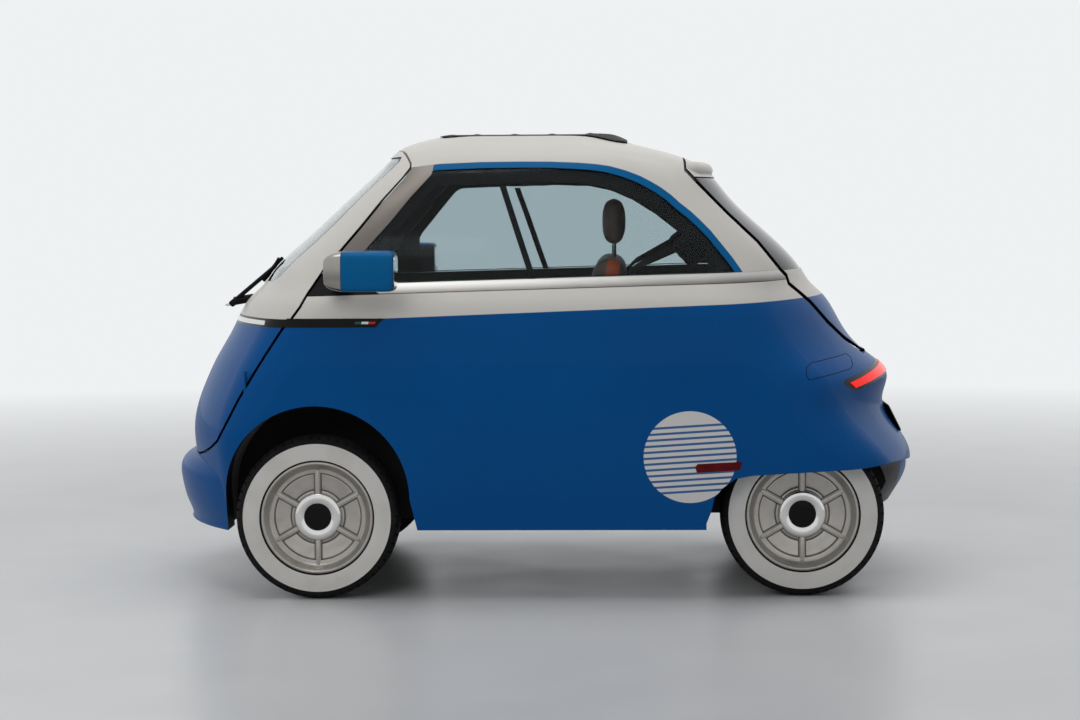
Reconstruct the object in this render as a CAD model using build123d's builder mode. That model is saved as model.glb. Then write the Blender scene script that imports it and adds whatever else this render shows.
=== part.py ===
from build123d import *
import os
from math import sqrt, cos, sin, radians, tan

os.makedirs("parts", exist_ok=True)

# ---------------------------------------------------------------- driving dimensions (mm)
# Frame: origin on the ground at the middle of the car's length and width,
# X to the rear, Y to the car's right, Z up.

# wheels and track
wheel_base_front_x = -713.0
wheel_base_rear_x = 853.0
tyre_radius = 265.0
tyre_width = 145.0
tyre_bead_radius = 170.0
tyre_shoulder = 26.0
front_track_half = 627.5
rear_track_half = 569.5
rim_flange_radius = 181.0
rim_flange_depth = 6.0
rim_wall = 6.0
rim_disc_thickness = 12.0
rim_disc_recess = 34.0
rim_ring_radius = 141.0
rim_ring_width = 8.0
rim_ring_height = 5.0
hub_ring_radius = 75.0
hub_ring_inner_radius = 50.0
hub_ring_height = 10.0
cap_radius = 47.0
cap_height = 7.0
spoke_count = 6
spoke_width = 16.0
spoke_reach = 148.0
spoke_height = 9.0
hub_radius = 46.0
hub_length = 62.0
spindle_radius = 14.0
running_clearance = 0.05
seat_clearance = 0.3

# steering
kingpin_inset = 45.0
kingpin_radius = 10.0
upright_width = 44.0
upright_height = 150.0
arm_thickness = 18.0
arm_width = 46.0
arm_inner_y = 330.0
ball_gap = 1.0
steering_wheel_radius = 165.0
steering_rim_radius = 13.0
steering_rake = 33.0
steering_centre = (-430.0, -215.0, 868.0)
column_radius = 16.0
column_length = 205.0
steering_hub_radius = 52.0
steering_hub_depth = 34.0

# body shell
door_wall = 55.0
strip_depth = 18.0
glass_recess = 3.0
glass_thickness = 6.0
panel_gap = 6.0
tail_gap = 8.0
paint_line_front_z = 901.0
paint_line_rear_z = 960.0
paint_line_front_x = -700.0
paint_line_rear_x = 940.0
strip_bottom_z = 879.0
strip_top_z = 906.0
trim_front_x = -600.0
trim_height = 34.0
trim_bottom_front_z = 982.0
trim_bottom_rear_z = 1018.0
trim_rear_x = 812.0
band_width = 20.0
sill_z = 225.0

# front wheel arch and rear cut-out
arch_radius = 302.0
arch_centre_z = 327.0
arch_front_foot_x = -1017.0
arch_rear_foot_x = -388.0
liner_gap = 2.0
liner_wall = 5.0
front_liner_inner_y = 392.0
front_liner_outer_y = 655.0
rear_liner_radius = 298.0
rear_liner_inner_y = 455.0
rear_liner_outer_y = 657.0

# lamp and mirror pods
pod_front_x = -662.0
pod_rear_x = -440.0
pod_ring_rear_x = -604.0
pod_bottom_z = 998.0
pod_top_z = 1127.0
pod_inner_y = 742.0
pod_outer_y = 905.0
pod_corner = 26.0
pod_wall = 6.0
lamp_hole_depth = 40.0
pod_arm_x = -625.0
pod_arm_z = 1016.0
pod_arm_length = 30.0
pod_arm_height = 11.0
pod_arm_reach = 150.0

# seat
seat_front_x = -360.0
seat_half_width = 500.0
seat_base_top_z = 420.0
seat_base_rear_x = 195.0
seat_wall = 14.0
cushion_thickness = 130.0
cushion_corner = 34.0
backrest_foot_x = 62.0
backrest_thickness = 122.0
backrest_top_z = 1112.0
backrest_rake = 10.0
headrest_width = 230.0
headrest_height = 168.0
headrest_thickness = 82.0
headrest_corner = 36.0
headrest_y = 215.0
post_gap = 14.0
post_radius = 6.0
post_spread = 120.0

# floor and heavy masses
floor_bottom_z = 226.0
floor_thickness = 20.0
rear_floor_z = tyre_radius + rear_liner_radius - liner_wall
bulkhead_x = 490.0
sheet_thickness = 16.0
battery_front_x = 210.0
battery_width = 640.0
battery_height = 200.0
motor_length = 210.0
motor_width = 320.0
motor_height = 260.0

# tail fittings
lamp_depth = 30.0
lamp_inner_y = 1.0
rear_plate_foot = (1224.0, 494.0)
rear_plate_tilt = 26.565
rear_plate_half = 200.0
rear_plate_margin = 12.0
rear_plate_mount = 60.0
plate_height = 110.0
plate_thickness = 5.0

# axle and mounts
hub_back = -15.0
upright_depth = 40.0
subframe_half = 350.0
subframe_width = 90.0
axle_radius = 32.0
gear_case_radius = 75.0
gear_case_half = 90.0
trailing_arm_y = 400.0
trailing_arm_width = 44.0
trailing_arm_height = 46.0
beam_x = -655.0
beam_z = 720.0
beam_radius = 22.0
shaft_radius = 10.0
shaft_length = 60.0
spoke_plate = 12.0

# door and tailgate hinges
door_axis_x = -940.0
door_axis_y = -695.0
door_pin_radius = 5.0
door_pin_low_z = 620.0
door_pin_length = 120.0
tail_axis_x = 481.0
tail_axis_z = 1422.5
hinge_y = 80.0
hinge_length = 24.0
hinge_radius = 3.5
hinge_pin_radius = 1.8
link_reach = 2.0
link_root = 11.0
link_top_drop = 2.5
link_bottom_drop = 9.0

# canvas roof
canvas_front_x = -335.0
canvas_rear_x = 292.0
canvas_half_width = 350.0
canvas_rise = 10.0
canvas_sink = 8.0
canvas_corner = 60.0

# ---------------------------------------------------------------- body envelope
# Horizontal sections: height, front end, rear end, half width, front arc, front corner,
# rear arc, rear corner, and how far the inner surface drops below the outer one.
BODY_ROWS = [
    (sill_z, -1160, 1190, 702, 1250, 190, 1600, 200, 0),
    (320, -1184, 1236, 717, 1280, 190, 1700, 200, 0),
    (410, -1196, 1257, 726, 1300, 190, 1700, 205, 0),
    (520, -1206, 1201, 733, 1300, 195, 1400, 220, 0),
    (615, -1188, 1166, 736.5, 1300, 200, 1150, 235, 0),
    (690, -1158, 1180, 736.5, 1300, 200, 1000, 240, 0),
    (765, -1121, 1102, 736, 1300, 205, 1000, 250, 0),
    (860, -1066, 1022, 731, 1300, 210, 1000, 250, 0),
    (960, -1008, 959, 714, 1300, 210, 1000, 250, 0),
    (1000, -966, 917, 686, 1350, 210, 1050, 245, 0),
    (1045, -933, 888, 656, 1400, 205, 1100, 240, 0),
    (1160, -813, 783, 620, 1400, 200, 1200, 220, 2),
    (1300, -659, 637, 570, 1400, 190, 1300, 200, 10),
    (1400, -549, 541, 517, 1400, 180, 1300, 190, 25),
    (1450, -499, 406, 462, 1400, 170, 1300, 180, 34),
    (1482, -424, 288, 398, 1400, 160, 1300, 170, 38),
    (1494, -330, 200, 345, 1400, 150, 1300, 160, 40),
]
BUMPER_ROWS = [
    (212, -1222, -300, 655, 960, 120, 1050, 100, 0),
    (262, -1234, -300, 665, 960, 120, 1050, 100, 0),
    (320, -1252, -300, 672, 960, 120, 1050, 100, 0),
    (373, -1259.5, -300, 676, 960, 120, 1050, 100, 0),
    (408, -1250, -300, 676, 960, 120, 1050, 100, 0),
    (428, -1229, -300, 674, 960, 120, 1050, 100, 0),
    (438, -1206, -300, 670, 960, 120, 1050, 100, 0),
]
SPOILER_ROWS = [
    (1362, -400, 578, 470, 1400, 180, 1300, 160, 0),
    (1384, -400, 585, 466, 1400, 180, 1300, 160, 0),
    (1400, -400, 576, 455, 1400, 180, 1300, 160, 0),
    (1409, -400, 552, 440, 1400, 180, 1300, 160, 0),
]

VALANCE_ROWS = [
    (268, 300, 1192, 560, 700, 150, 1050, 200, 0),
    (324, 300, 1227, 600, 700, 150, 1050, 200, 0),
    (380, 300, 1247, 640, 700, 150, 1050, 200, 0),
    (432, 300, 1238, 660, 700, 150, 1050, 200, 0),
]
TAIL_LAMP = [
    (985, 688), (1000, 700), (1060, 712), (1140, 737), (1300, 745), (1300, 692), (1150, 690),
    (1100, 674), (1025, 656),
]


def corner_points(end_x, toward_rear, half_width, big, small):
    """Tangency points of an end arc, a corner arc and the straight side."""
    cy = half_width - small
    reach = sqrt((big - small) ** 2 - cy ** 2)
    s = 1 if toward_rear else -1
    big_x = end_x - s * big
    cx = big_x + s * reach
    tx = big_x + s * big * reach / (big - small)
    ty = big * cy / (big - small)
    bx = (tx - cx) / small
    by = (ty - cy) / small + 1
    size = sqrt(bx ** 2 + by ** 2)
    mid = (cx + small * bx / size, cy + small * by / size)
    return (tx, ty), mid, (cx, half_width)


def flip(point):
    return (point[0], -point[1])


def stack(rows, inset, bottom_drop=0.0):
    """Loft of horizontal sections, each drawn parallel to the outer one by the inset."""
    with BuildPart() as body:
        for number, row in enumerate(rows):
            z, front, rear, half, big_f, small_f, big_r, small_r, drop = row
            level = z - drop * inset / door_wall
            if number == 0:
                level = level - bottom_drop
            front_x = front + inset
            rear_x = rear - inset
            half_y = half - inset
            tf, mf, sf = corner_points(front_x, False, half_y, big_f - inset, small_f - inset)
            tr, mr, sr = corner_points(rear_x, True, half_y, big_r - inset, small_r - inset)
            with BuildSketch(Plane.XY.offset(level)):
                with BuildLine():
                    ThreePointArc(flip(tf), (front_x, 0), tf)
                    ThreePointArc(tf, mf, sf)
                    Line(sf, sr)
                    ThreePointArc(sr, mr, tr)
                    ThreePointArc(tr, (rear_x, 0), flip(tr))
                    ThreePointArc(flip(tr), flip(mr), flip(sr))
                    Line(flip(sr), flip(sf))
                    ThreePointArc(flip(sf), flip(mf), flip(tf))
                make_face()
        loft()
    return body.part


def side_prism(points, y_low=-1000.0, y_high=1000.0):
    """Prism of a side-view outline, running across the car."""
    with BuildPart() as prism:
        with BuildSketch(Plane.XZ.offset(-y_high)):
            with BuildLine():
                Polyline(*points, close=True)
            make_face()
        extrude(amount=y_high - y_low)
    return prism.part


def front_prism(points, x_low, x_high):
    """Prism of a front-view outline (y, z), running along the car."""
    with BuildPart() as prism:
        with BuildSketch(Plane.YZ.offset(x_low)):
            with BuildLine():
                Polyline(*points, close=True)
            make_face()
        extrude(amount=x_high - x_low)
    return prism.part


def block(x_low, x_high, y_low, y_high, z_low, z_high):
    """Rectangular block between two corners."""
    with BuildPart() as solid:
        with BuildSketch(Plane.XY.offset(z_low)):
            with Locations(((x_low + x_high) / 2, (y_low + y_high) / 2)):
                Rectangle(x_high - x_low, y_high - y_low)
        extrude(amount=z_high - z_low)
    return solid.part


def piece(source, keep=(), cut=()):
    """One panel: a source solid limited to the kept zones, less the cut ones."""
    with BuildPart() as result:
        add(source)
        for zone in keep:
            add(zone, mode=Mode.INTERSECT)
        for zone in cut:
            add(zone, mode=Mode.SUBTRACT)
    return result.part


def mirrored(source):
    """The same piece on the other side of the car."""
    with BuildPart() as result:
        add(source)
        mirror(about=Plane.XZ, mode=Mode.REPLACE)
    return result.part


def write(solid, name):
    solid.label = name
    export_step(solid, "parts/" + name + ".step")


def write_pair(solid, name):
    """Left piece as drawn, right piece mirrored."""
    write(solid, name + "_left")
    write(mirrored(solid), name + "_right")


outer = stack(BODY_ROWS, 0.0)
inner = stack(BODY_ROWS, door_wall, 30.0)
strip_back = stack(BODY_ROWS, strip_depth)
glass_front = stack(BODY_ROWS, glass_recess)
glass_back = stack(BODY_ROWS, glass_recess + glass_thickness)

with BuildPart() as shell_part:
    add(outer)
    add(stack(BUMPER_ROWS, 0.0))
    add(inner, mode=Mode.SUBTRACT)
shell = shell_part.part

FAR = 1500.0
TOP = 1700.0
left_half = block(-FAR, FAR, -FAR, 0.0, 0.0, TOP)

# ---------------------------------------------------------------- parting lines
DOOR_EDGE = [
    (-1150, 446), (-1112, 462), (-1079, 483), (-1046, 511), (-1025, 545), (-995, 596),
    (-969, 644), (-935, 700), (-902, 752), (-869, 803), (-819, 878), (-794, 903),
    (-761, 948), (-739, 990), (-689, 1068), (-636, 1129), (-574, 1203), (-508, 1287),
    (-443, 1360), (-420, 1392),
]
TAIL_EDGE = [
    (485, 1385), (528, 1339), (625, 1241), (722, 1149), (797, 1056), (817, 1036),
    (825, 1009), (853, 986), (895, 950), (918, 925), (960, 878), (1020, 822), (1098, 766),
]
roof_arc_radius = 1500.0
roof_front_x = -500.0
tail_hinge_edge_x = 482.0


def ahead_of_roof(gap):
    """Zone ahead of the curved front edge of the roof."""
    with BuildPart() as zone:
        with BuildSketch():
            Rectangle(2 * FAR, 2 * FAR)
            with Locations((roof_front_x + gap + roof_arc_radius, 0.0)):
                Circle(roof_arc_radius, mode=Mode.SUBTRACT)
            with Locations((FAR, 0.0)):
                Rectangle(2 * FAR + 600.0, 2 * FAR, mode=Mode.SUBTRACT)
        extrude(amount=TOP)
    return zone.part


def door_zone(gap):
    """Everything ahead of the door's parting line, moved back and down by the gap."""
    outline = [(x + gap, z - gap) for x, z in DOOR_EDGE]
    points = [(-FAR, outline[0][1])] + outline + [(outline[-1][0], TOP), (-FAR, TOP)]
    return piece(side_prism(points), keep=[ahead_of_roof(gap)])


def tail_zone(gap):
    """Everything behind the tailgate's parting line, moved forward and down by the gap."""
    outline = [(x - gap, z - gap) for x, z in TAIL_EDGE]
    points = [(outline[0][0], TOP)] + outline + [(FAR, outline[-1][1]), (FAR, TOP)]
    return side_prism(points)


def slanted(front_z, rear_z, front_x, rear_x):
    """Heights of a slightly rising line at the two far ends."""
    slope = (rear_z - front_z) / (rear_x - front_x)
    return front_z + slope * (-FAR - front_x), front_z + slope * (FAR - front_x)


paint_low, paint_high = slanted(
    paint_line_front_z, paint_line_rear_z, paint_line_front_x, paint_line_rear_x
)
trim_low, trim_high = slanted(
    trim_bottom_front_z, trim_bottom_rear_z, trim_front_x, trim_rear_x
)
below_paint = side_prism([(-FAR, 0), (FAR, 0), (FAR, paint_high), (-FAR, paint_low)])
above_paint = side_prism([(-FAR, TOP), (FAR, TOP), (FAR, paint_high), (-FAR, paint_low)])
below_trim = side_prism([(-FAR, 0), (FAR, 0), (FAR, trim_high), (-FAR, trim_low)])
above_trim = side_prism(
    [(-FAR, TOP), (FAR, TOP), (FAR, trim_high + trim_height), (-FAR, trim_low + trim_height)]
)

door_side = door_zone(0.0)
door_opening = door_zone(panel_gap)
tail_side = tail_zone(0.0)
tail_opening = tail_zone(tail_gap)

# front wheel arch, from its side outline, open below
with BuildPart() as arch_cut:
    with BuildSketch(Plane.XZ.offset(front_liner_inner_y)):
        with BuildLine():
            crown = (wheel_base_front_x, arch_centre_z + arch_radius)
            arch_front = (wheel_base_front_x - arch_radius, arch_centre_z)
            arch_rear = (wheel_base_front_x + arch_radius, arch_centre_z)
            Line((arch_front_foot_x, 0), (arch_front_foot_x, sill_z))
            Line((arch_front_foot_x, sill_z), arch_front)
            ThreePointArc(arch_front, crown, arch_rear)
            Line(arch_rear, (arch_rear_foot_x, sill_z))
            Line((arch_rear_foot_x, sill_z), (arch_rear_foot_x, 0))
            Line((arch_rear_foot_x, 0), (arch_front_foot_x, 0))
        make_face()
    extrude(amount=FAR)
front_arch = arch_cut.part

# rear cut-out below the tail, right across the car
REAR_CUT = [
    (541, 0), (541, 246), (556, 285), (566, 330), (593, 363), (634, 392), (690, 402),
    (850, 411), (1026, 421), (1141, 431), (1200, 424), (1262, 404), (FAR, 404), (FAR, 0),
]
rear_cut = side_prism(REAR_CUT)

# side window outline, from the door's parting line round the arch to the belt trim
WINDOW_EDGE = [
    (-420, 1391), (-319, 1403), (-188, 1408), (-60, 1409), (40, 1408), (130, 1404),
    (190, 1399), (235, 1392), (285, 1378), (332, 1360), (366, 1342), (397, 1324),
    (431, 1299), (462, 1271), (496, 1244), (527, 1215), (561, 1180), (592, 1141),
    (626, 1099), (656, 1056), (668, 1036),
]


def window_zone(shrink):
    """Side window opening, smaller by the shrink along its arched edge."""
    outline = [(x - shrink * 0.6 * (x > 100), z - shrink) for x, z in WINDOW_EDGE]
    points = [(-700, 960), (-700, outline[0][1])] + outline + [(outline[-1][0], 960)]
    return piece(side_prism(points, -FAR, -200.0), keep=[above_trim])


window_outer = window_zone(0.0)
window_glass = window_zone(band_width)

# brushed pillar behind the door's parting line, and the black foot that carries the pod
PILLAR = [
    (-780, 960), (-780, 1450), (-330, 1450),
    (-345, 1369), (-411, 1296), (-476, 1215), (-556, 1125), (-640, 1035), (-640, 960),
]
FOOT = [(-780, 940), (-780, 1110), (-690, 1110), (-672, 1078), (-500, 985), (-500, 940)]
foot_prism = side_prism(FOOT, -FAR, -200.0)
pillar_prism = side_prism(PILLAR, -FAR, -200.0)

# ---------------------------------------------------------------- fixed body panels
BUMPER_SPLIT = [
    (-FAR, 0), (-930, 0), (-930, 503), (-963, 503), (-1012, 549), (-1019, 560), (-FAR, 560),
]
bumper_zone = side_prism(BUMPER_SPLIT)
tail_block = block(760.0, FAR, -430.0, 430.0, 0.0, TOP)
roof_block = block(-FAR, FAR, -392.0, 392.0, 1300.0, TOP)
strip_zone = block(-FAR, 0.0, -FAR, FAR, strip_bottom_z, strip_top_z)

with BuildPart() as canvas_cut:
    with BuildSketch(Plane.XY.offset(1300.0)):
        with Locations(((canvas_front_x + canvas_rear_x) / 2, 0.0)):
            RectangleRounded(
                canvas_rear_x - canvas_front_x, 2 * canvas_half_width, canvas_corner
            )
    extrude(amount=400.0)

body_shell = piece(shell, cut=[door_opening, tail_opening, rear_cut])
body_left = piece(body_shell, keep=[left_half], cut=[front_arch])
body_lower = piece(body_left, keep=[below_paint], cut=[bumper_zone])
body_upper = piece(body_left, keep=[above_paint])
strip_skin = piece(outer, cut=[strip_back])

write(
    piece(shell, keep=[bumper_zone], cut=[door_opening, front_arch, mirrored(front_arch)]),
    "front_bumper",
)

# belt trim, set into the upper side below the glass
trim_start = block(trim_front_x, FAR, -FAR, FAR, 0.0, TOP)
trim_skin = piece(strip_skin, keep=[left_half, trim_start], cut=[below_trim, above_trim])
belt_trim = piece(trim_skin, cut=[foot_prism, door_opening, tail_opening])
write_pair(belt_trim, "belt_trim")
foot_zone = piece(foot_prism, cut=[below_trim])
upper_rest = piece(body_upper, cut=[foot_zone, belt_trim])
window_rest = piece(upper_rest, keep=[window_outer], cut=[roof_block])
write_pair(piece(window_rest, keep=[pillar_prism]), "pillar")
write_pair(piece(window_rest, cut=[pillar_prism, window_glass]), "window_band")
write_pair(piece(upper_rest, cut=[window_outer, roof_block]), "upper_side")
glass_skin = piece(glass_front, cut=[glass_back])
write_pair(
    piece(
        glass_skin,
        keep=[left_half, window_glass],
        cut=[pillar_prism, foot_prism, door_opening],
    ),
    "side_glass",
)
roof_raw = piece(body_shell, keep=[roof_block], cut=[canvas_cut.part])

canvas_over = stack(BODY_ROWS, -canvas_rise)
canvas_under = stack(BODY_ROWS, canvas_sink)
with BuildPart() as canvas:
    add(canvas_over)
    add(canvas_under, mode=Mode.SUBTRACT)
    with BuildSketch(Plane.XY.offset(1300.0)):
        with Locations(((canvas_front_x + canvas_rear_x) / 2, 0.0)):
            RectangleRounded(
                canvas_rear_x - canvas_front_x - 2 * seat_clearance,
                2 * (canvas_half_width - seat_clearance),
                canvas_corner - seat_clearance,
            )
    extrude(amount=400.0, mode=Mode.INTERSECT)
write(canvas.part, "canvas_roof")

# ---------------------------------------------------------------- front door
def door_pin(radius, extra):
    """Hinge pin of the front door, standing in the left side panel's upper front edge."""
    with BuildPart() as pin:
        with BuildSketch(Plane.XY.offset(door_pin_low_z - extra)):
            with Locations((door_axis_x, door_axis_y)):
                Circle(radius)
        extrude(amount=door_pin_length + 2 * extra)
    return pin.part


WINDSHIELD = [
    (-400, 1018), (400, 1018), (450, 1023), (487, 1038), (508, 1065), (514, 1100),
    (509, 1146), (440, 1392), (430, 1414), (410, 1428), (-410, 1428), (-430, 1414),
    (-440, 1392), (-509, 1146), (-514, 1100), (-508, 1065), (-487, 1038), (-450, 1023),
]
windshield_hole = front_prism(WINDSHIELD, -FAR, -300.0)
door_shell = piece(shell, keep=[door_side])
front_strip = piece(strip_skin, keep=[strip_zone, door_side])
write(front_strip, "front_strip")
write(
    piece(
        door_shell,
        keep=[below_paint],
        cut=[front_strip, door_pin(door_pin_radius + running_clearance, 1.0)],
    ),
    "door_panel",
)
write(
    piece(door_shell, keep=[above_paint], cut=[windshield_hole, front_strip]), "door_frame"
)
write(piece(glass_skin, keep=[door_side, windshield_hole]), "windshield")

# ---------------------------------------------------------------- tailgate
tail_glass_bottom = 1048.0
tail_glass_top = 1357.0
REAR_WINDOW = [(-345, 1085), (345, 1085), (325, 1310), (-325, 1310)]
rear_hole = front_prism(REAR_WINDOW, 300.0, FAR)
glass_band = block(-FAR, FAR, -FAR, FAR, tail_glass_bottom, tail_glass_top)
below_glass = block(-FAR, FAR, -FAR, FAR, 0.0, tail_glass_bottom)
over_glass = block(-FAR, FAR, -FAR, FAR, tail_glass_top, TOP)
tail_shell = piece(shell, keep=[tail_side])
write(piece(tail_shell, keep=[below_glass]), "tailgate_panel")
write(piece(glass_skin, keep=[tail_side, glass_band]), "rear_glass")
write(
    piece(piece(glass_back, cut=[inner]), keep=[tail_side, glass_band], cut=[rear_hole]),
    "tailgate_frame",
)


def hinge_barrel(y_low, y_high, radius):
    """Length of round barrel on the tailgate's hinge axis."""
    with BuildPart() as barrel:
        with BuildSketch(Plane.XZ.offset(-y_high)):
            with Locations((tail_axis_x, tail_axis_z)):
                Circle(radius)
        extrude(amount=y_high - y_low)
    return barrel.part


with BuildPart() as roof_panel:
    add(roof_raw)
    for side in (-1, 1):
        fixed = sorted((side * hinge_y, side * (hinge_y + hinge_length)))
        moving = sorted((side * hinge_y, side * (hinge_y - hinge_length)))
        add(hinge_barrel(moving[0] - 1.0, moving[1] + 1.0, hinge_radius + 1.0),
            mode=Mode.SUBTRACT)
        add(hinge_barrel(fixed[0], fixed[1], hinge_radius))
        add(block(tail_axis_x - link_root, tail_axis_x + link_reach, fixed[0], fixed[1],
                  tail_axis_z - link_bottom_drop, tail_axis_z - link_top_drop))
        add(hinge_barrel(moving[0], moving[1], hinge_pin_radius))
write(roof_panel.part, "roof_panel")
with BuildPart() as spoiler:
    add(tail_shell)
    add(over_glass, mode=Mode.INTERSECT)
    add(piece(stack(SPOILER_ROWS, 0.0), keep=[tail_side], cut=[glass_front]))
    for side in (-1, 1):
        fixed = sorted((side * hinge_y, side * (hinge_y + hinge_length)))
        moving = sorted((side * (hinge_y - seat_clearance),
                         side * (hinge_y - hinge_length + seat_clearance)))
        add(hinge_barrel(fixed[0] - 1.0, fixed[1] + 1.0, hinge_radius + 1.0),
            mode=Mode.SUBTRACT)
        add(hinge_barrel(moving[0], moving[1], hinge_radius))
        add(block(tail_axis_x - link_reach, tail_axis_x + link_root, moving[0], moving[1],
                  tail_axis_z - link_bottom_drop, tail_axis_z - link_top_drop))
        add(hinge_barrel(moving[0] - 1.0, moving[1] + 1.0,
                         hinge_pin_radius + running_clearance), mode=Mode.SUBTRACT)
write(spoiler.part, "spoiler")

# ---------------------------------------------------------------- tail lamps
lamp_skin = piece(outer, cut=[stack(BODY_ROWS, lamp_depth)])
tail_lamp = piece(lamp_skin, keep=[side_prism(TAIL_LAMP, -FAR, -lamp_inner_y)])
write_pair(tail_lamp, "tail_lamp")
write(
    piece(body_shell, keep=[below_paint, tail_block], cut=[tail_lamp, mirrored(tail_lamp)]),
    "tail_panel",
)

# ---------------------------------------------------------------- wheel housings
def arch_outline(grow):
    """Front arch outline, grown outward, as a solid running from the liner's inner face out."""
    with BuildPart() as shape:
        with BuildSketch(Plane.XZ.offset(front_liner_inner_y - grow)):
            with BuildLine():
                radius = arch_radius + grow
                crown = (wheel_base_front_x, arch_centre_z + radius)
                front = (wheel_base_front_x - radius, arch_centre_z)
                rear = (wheel_base_front_x + radius, arch_centre_z)
                foot_front = arch_front_foot_x - grow
                foot_rear = arch_rear_foot_x + grow
                Polyline(front, (foot_front, sill_z), (foot_front, 100), (foot_rear, 100),
                         (foot_rear, sill_z), rear)
                ThreePointArc(rear, crown, front)
            make_face()
        extrude(amount=FAR)
    return shape.part


above_sill = block(-FAR, FAR, -FAR, FAR, floor_bottom_z, TOP)
front_liner = piece(
    inner,
    keep=[arch_outline(liner_gap + liner_wall), above_sill],
    cut=[arch_outline(liner_gap)],
)


def rear_drum(radius, inner_y):
    """Round housing over a rear wheel, open below."""
    with BuildPart() as drum:
        with BuildSketch(Plane.XZ.offset(inner_y)):
            with Locations((wheel_base_rear_x, tyre_radius)):
                Circle(radius)
        extrude(amount=FAR)
    return drum.part


rear_clear = rear_drum(rear_liner_radius, rear_liner_inner_y)
well_limit = block(-FAR, FAR, -rear_liner_outer_y, 0.0, 0.0, TOP)
rear_liner = piece(
    inner,
    keep=[rear_drum(rear_liner_radius + liner_wall, rear_liner_inner_y - liner_wall)],
    cut=[rear_drum(rear_liner_radius, rear_liner_inner_y), rear_cut],
)
rear_well = piece(rear_drum(rear_liner_radius, rear_liner_inner_y), keep=[well_limit])
side_panel = piece(body_lower, cut=[tail_block, tail_lamp, rear_well])
write(mirrored(side_panel), "side_panel_right")
with BuildPart() as hinged_side:
    add(side_panel)
    add(door_pin(door_pin_radius, 0.0))
write(hinged_side.part, "side_panel_left")

# ---------------------------------------------------------------- floor
floor_zone = block(-FAR, REAR_CUT[0][0], -FAR, FAR, floor_bottom_z,
                   floor_bottom_z + floor_thickness)
front_wells = arch_outline(liner_gap + liner_wall)
with BuildPart() as floor_pan:
    add(piece(inner, keep=[floor_zone], cut=[front_wells, mirrored(front_wells)]))
    add(front_liner)
    add(mirrored(front_liner))
write(floor_pan.part, "floor_pan")

with BuildPart() as rear_deck:
    add(inner)
    add(block(bulkhead_x, FAR, -FAR, FAR, rear_floor_z, rear_floor_z + sheet_thickness),
        mode=Mode.INTERSECT)
    add(rear_clear, mode=Mode.SUBTRACT)
    add(mirrored(rear_clear), mode=Mode.SUBTRACT)
with BuildPart() as bulkhead:
    add(inner)
    add(block(bulkhead_x, bulkhead_x + sheet_thickness, -FAR, FAR,
              floor_bottom_z + floor_thickness, rear_floor_z), mode=Mode.INTERSECT)
with BuildPart() as rear_floor:
    add(rear_deck.part)
    add(bulkhead.part)
    add(rear_liner)
    add(mirrored(rear_liner))
write(rear_floor.part, "rear_floor")
floor_top_z = floor_bottom_z + floor_thickness

# ---------------------------------------------------------------- tail and side fittings
valance_zone = block(1040.0, FAR, -FAR, FAR, 0.0, TOP)
valance_core = block(1000.0, 1120.0, -rear_liner_inner_y + 15.0, rear_liner_inner_y - 15.0,
                     0.0, TOP)
valance_shape = stack(VALANCE_ROWS, 0.0)
write(
    piece(
        valance_shape,
        keep=[rear_cut, valance_zone],
        cut=[valance_core, rear_clear, mirrored(rear_clear)],
    ),
    "rear_valance",
)

def along_plate(up, out):
    """Side-view point of the tilted rear plate, from its foot."""
    lean_x, lean_z = sin(radians(rear_plate_tilt)), cos(radians(rear_plate_tilt))
    return (rear_plate_foot[0] - lean_x * up + lean_z * out,
            rear_plate_foot[1] + lean_z * up + lean_x * out)


plate_top = plate_height - rear_plate_margin
PLATE_FACE = [
    along_plate(0.0, 0.0), along_plate(plate_height, 0.0),
    along_plate(plate_height, plate_thickness), along_plate(0.0, plate_thickness),
]
PLATE_MOUNT = [
    along_plate(rear_plate_margin, -rear_plate_mount), along_plate(plate_top, -rear_plate_mount),
    along_plate(plate_top, 1.0), along_plate(rear_plate_margin, 1.0),
]
mount_half = rear_plate_half - 20.0
with BuildPart() as rear_plate:
    add(side_prism(PLATE_MOUNT, -mount_half, mount_half))
    add(side_prism(PLATE_FACE, -rear_plate_half, rear_plate_half))
    add(outer, mode=Mode.SUBTRACT)
write(rear_plate.part, "rear_plate")

# ---------------------------------------------------------------- lamp and mirror pods
pod_height = pod_top_z - pod_bottom_z
pod_width = pod_outer_y - pod_inner_y
pod_mid_y = (pod_outer_y + pod_inner_y) / 2
pod_mid_z = (pod_top_z + pod_bottom_z) / 2


def pod_slice(x_low, x_high, trim):
    """Length of the pod's rounded section, smaller by the trim all round."""
    with BuildPart() as length:
        with BuildSketch(Plane.YZ.offset(x_low)):
            with Locations((-pod_mid_y, pod_mid_z)):
                RectangleRounded(pod_width - 2 * trim, pod_height - 2 * trim, pod_corner - trim)
        extrude(amount=x_high - x_low)
    return length.part


lamp_hole = pod_slice(pod_front_x, pod_front_x + lamp_hole_depth, pod_wall)
write_pair(pod_slice(pod_ring_rear_x, pod_rear_x, 0.0), "pod_shell")
write_pair(piece(pod_slice(pod_front_x, pod_ring_rear_x, 0.0), cut=[lamp_hole]), "pod_ring")
with BuildPart() as mirror_foot:
    with BuildSketch(Plane.XZ.offset(pod_inner_y)):
        with Locations((pod_arm_x, pod_arm_z)):
            Ellipse(pod_arm_length, pod_arm_height)
    extrude(amount=-pod_arm_reach)
    add(outer, mode=Mode.SUBTRACT)
    add(piece(body_upper, keep=[foot_zone]))
write_pair(mirror_foot.part, "mirror_foot")

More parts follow.
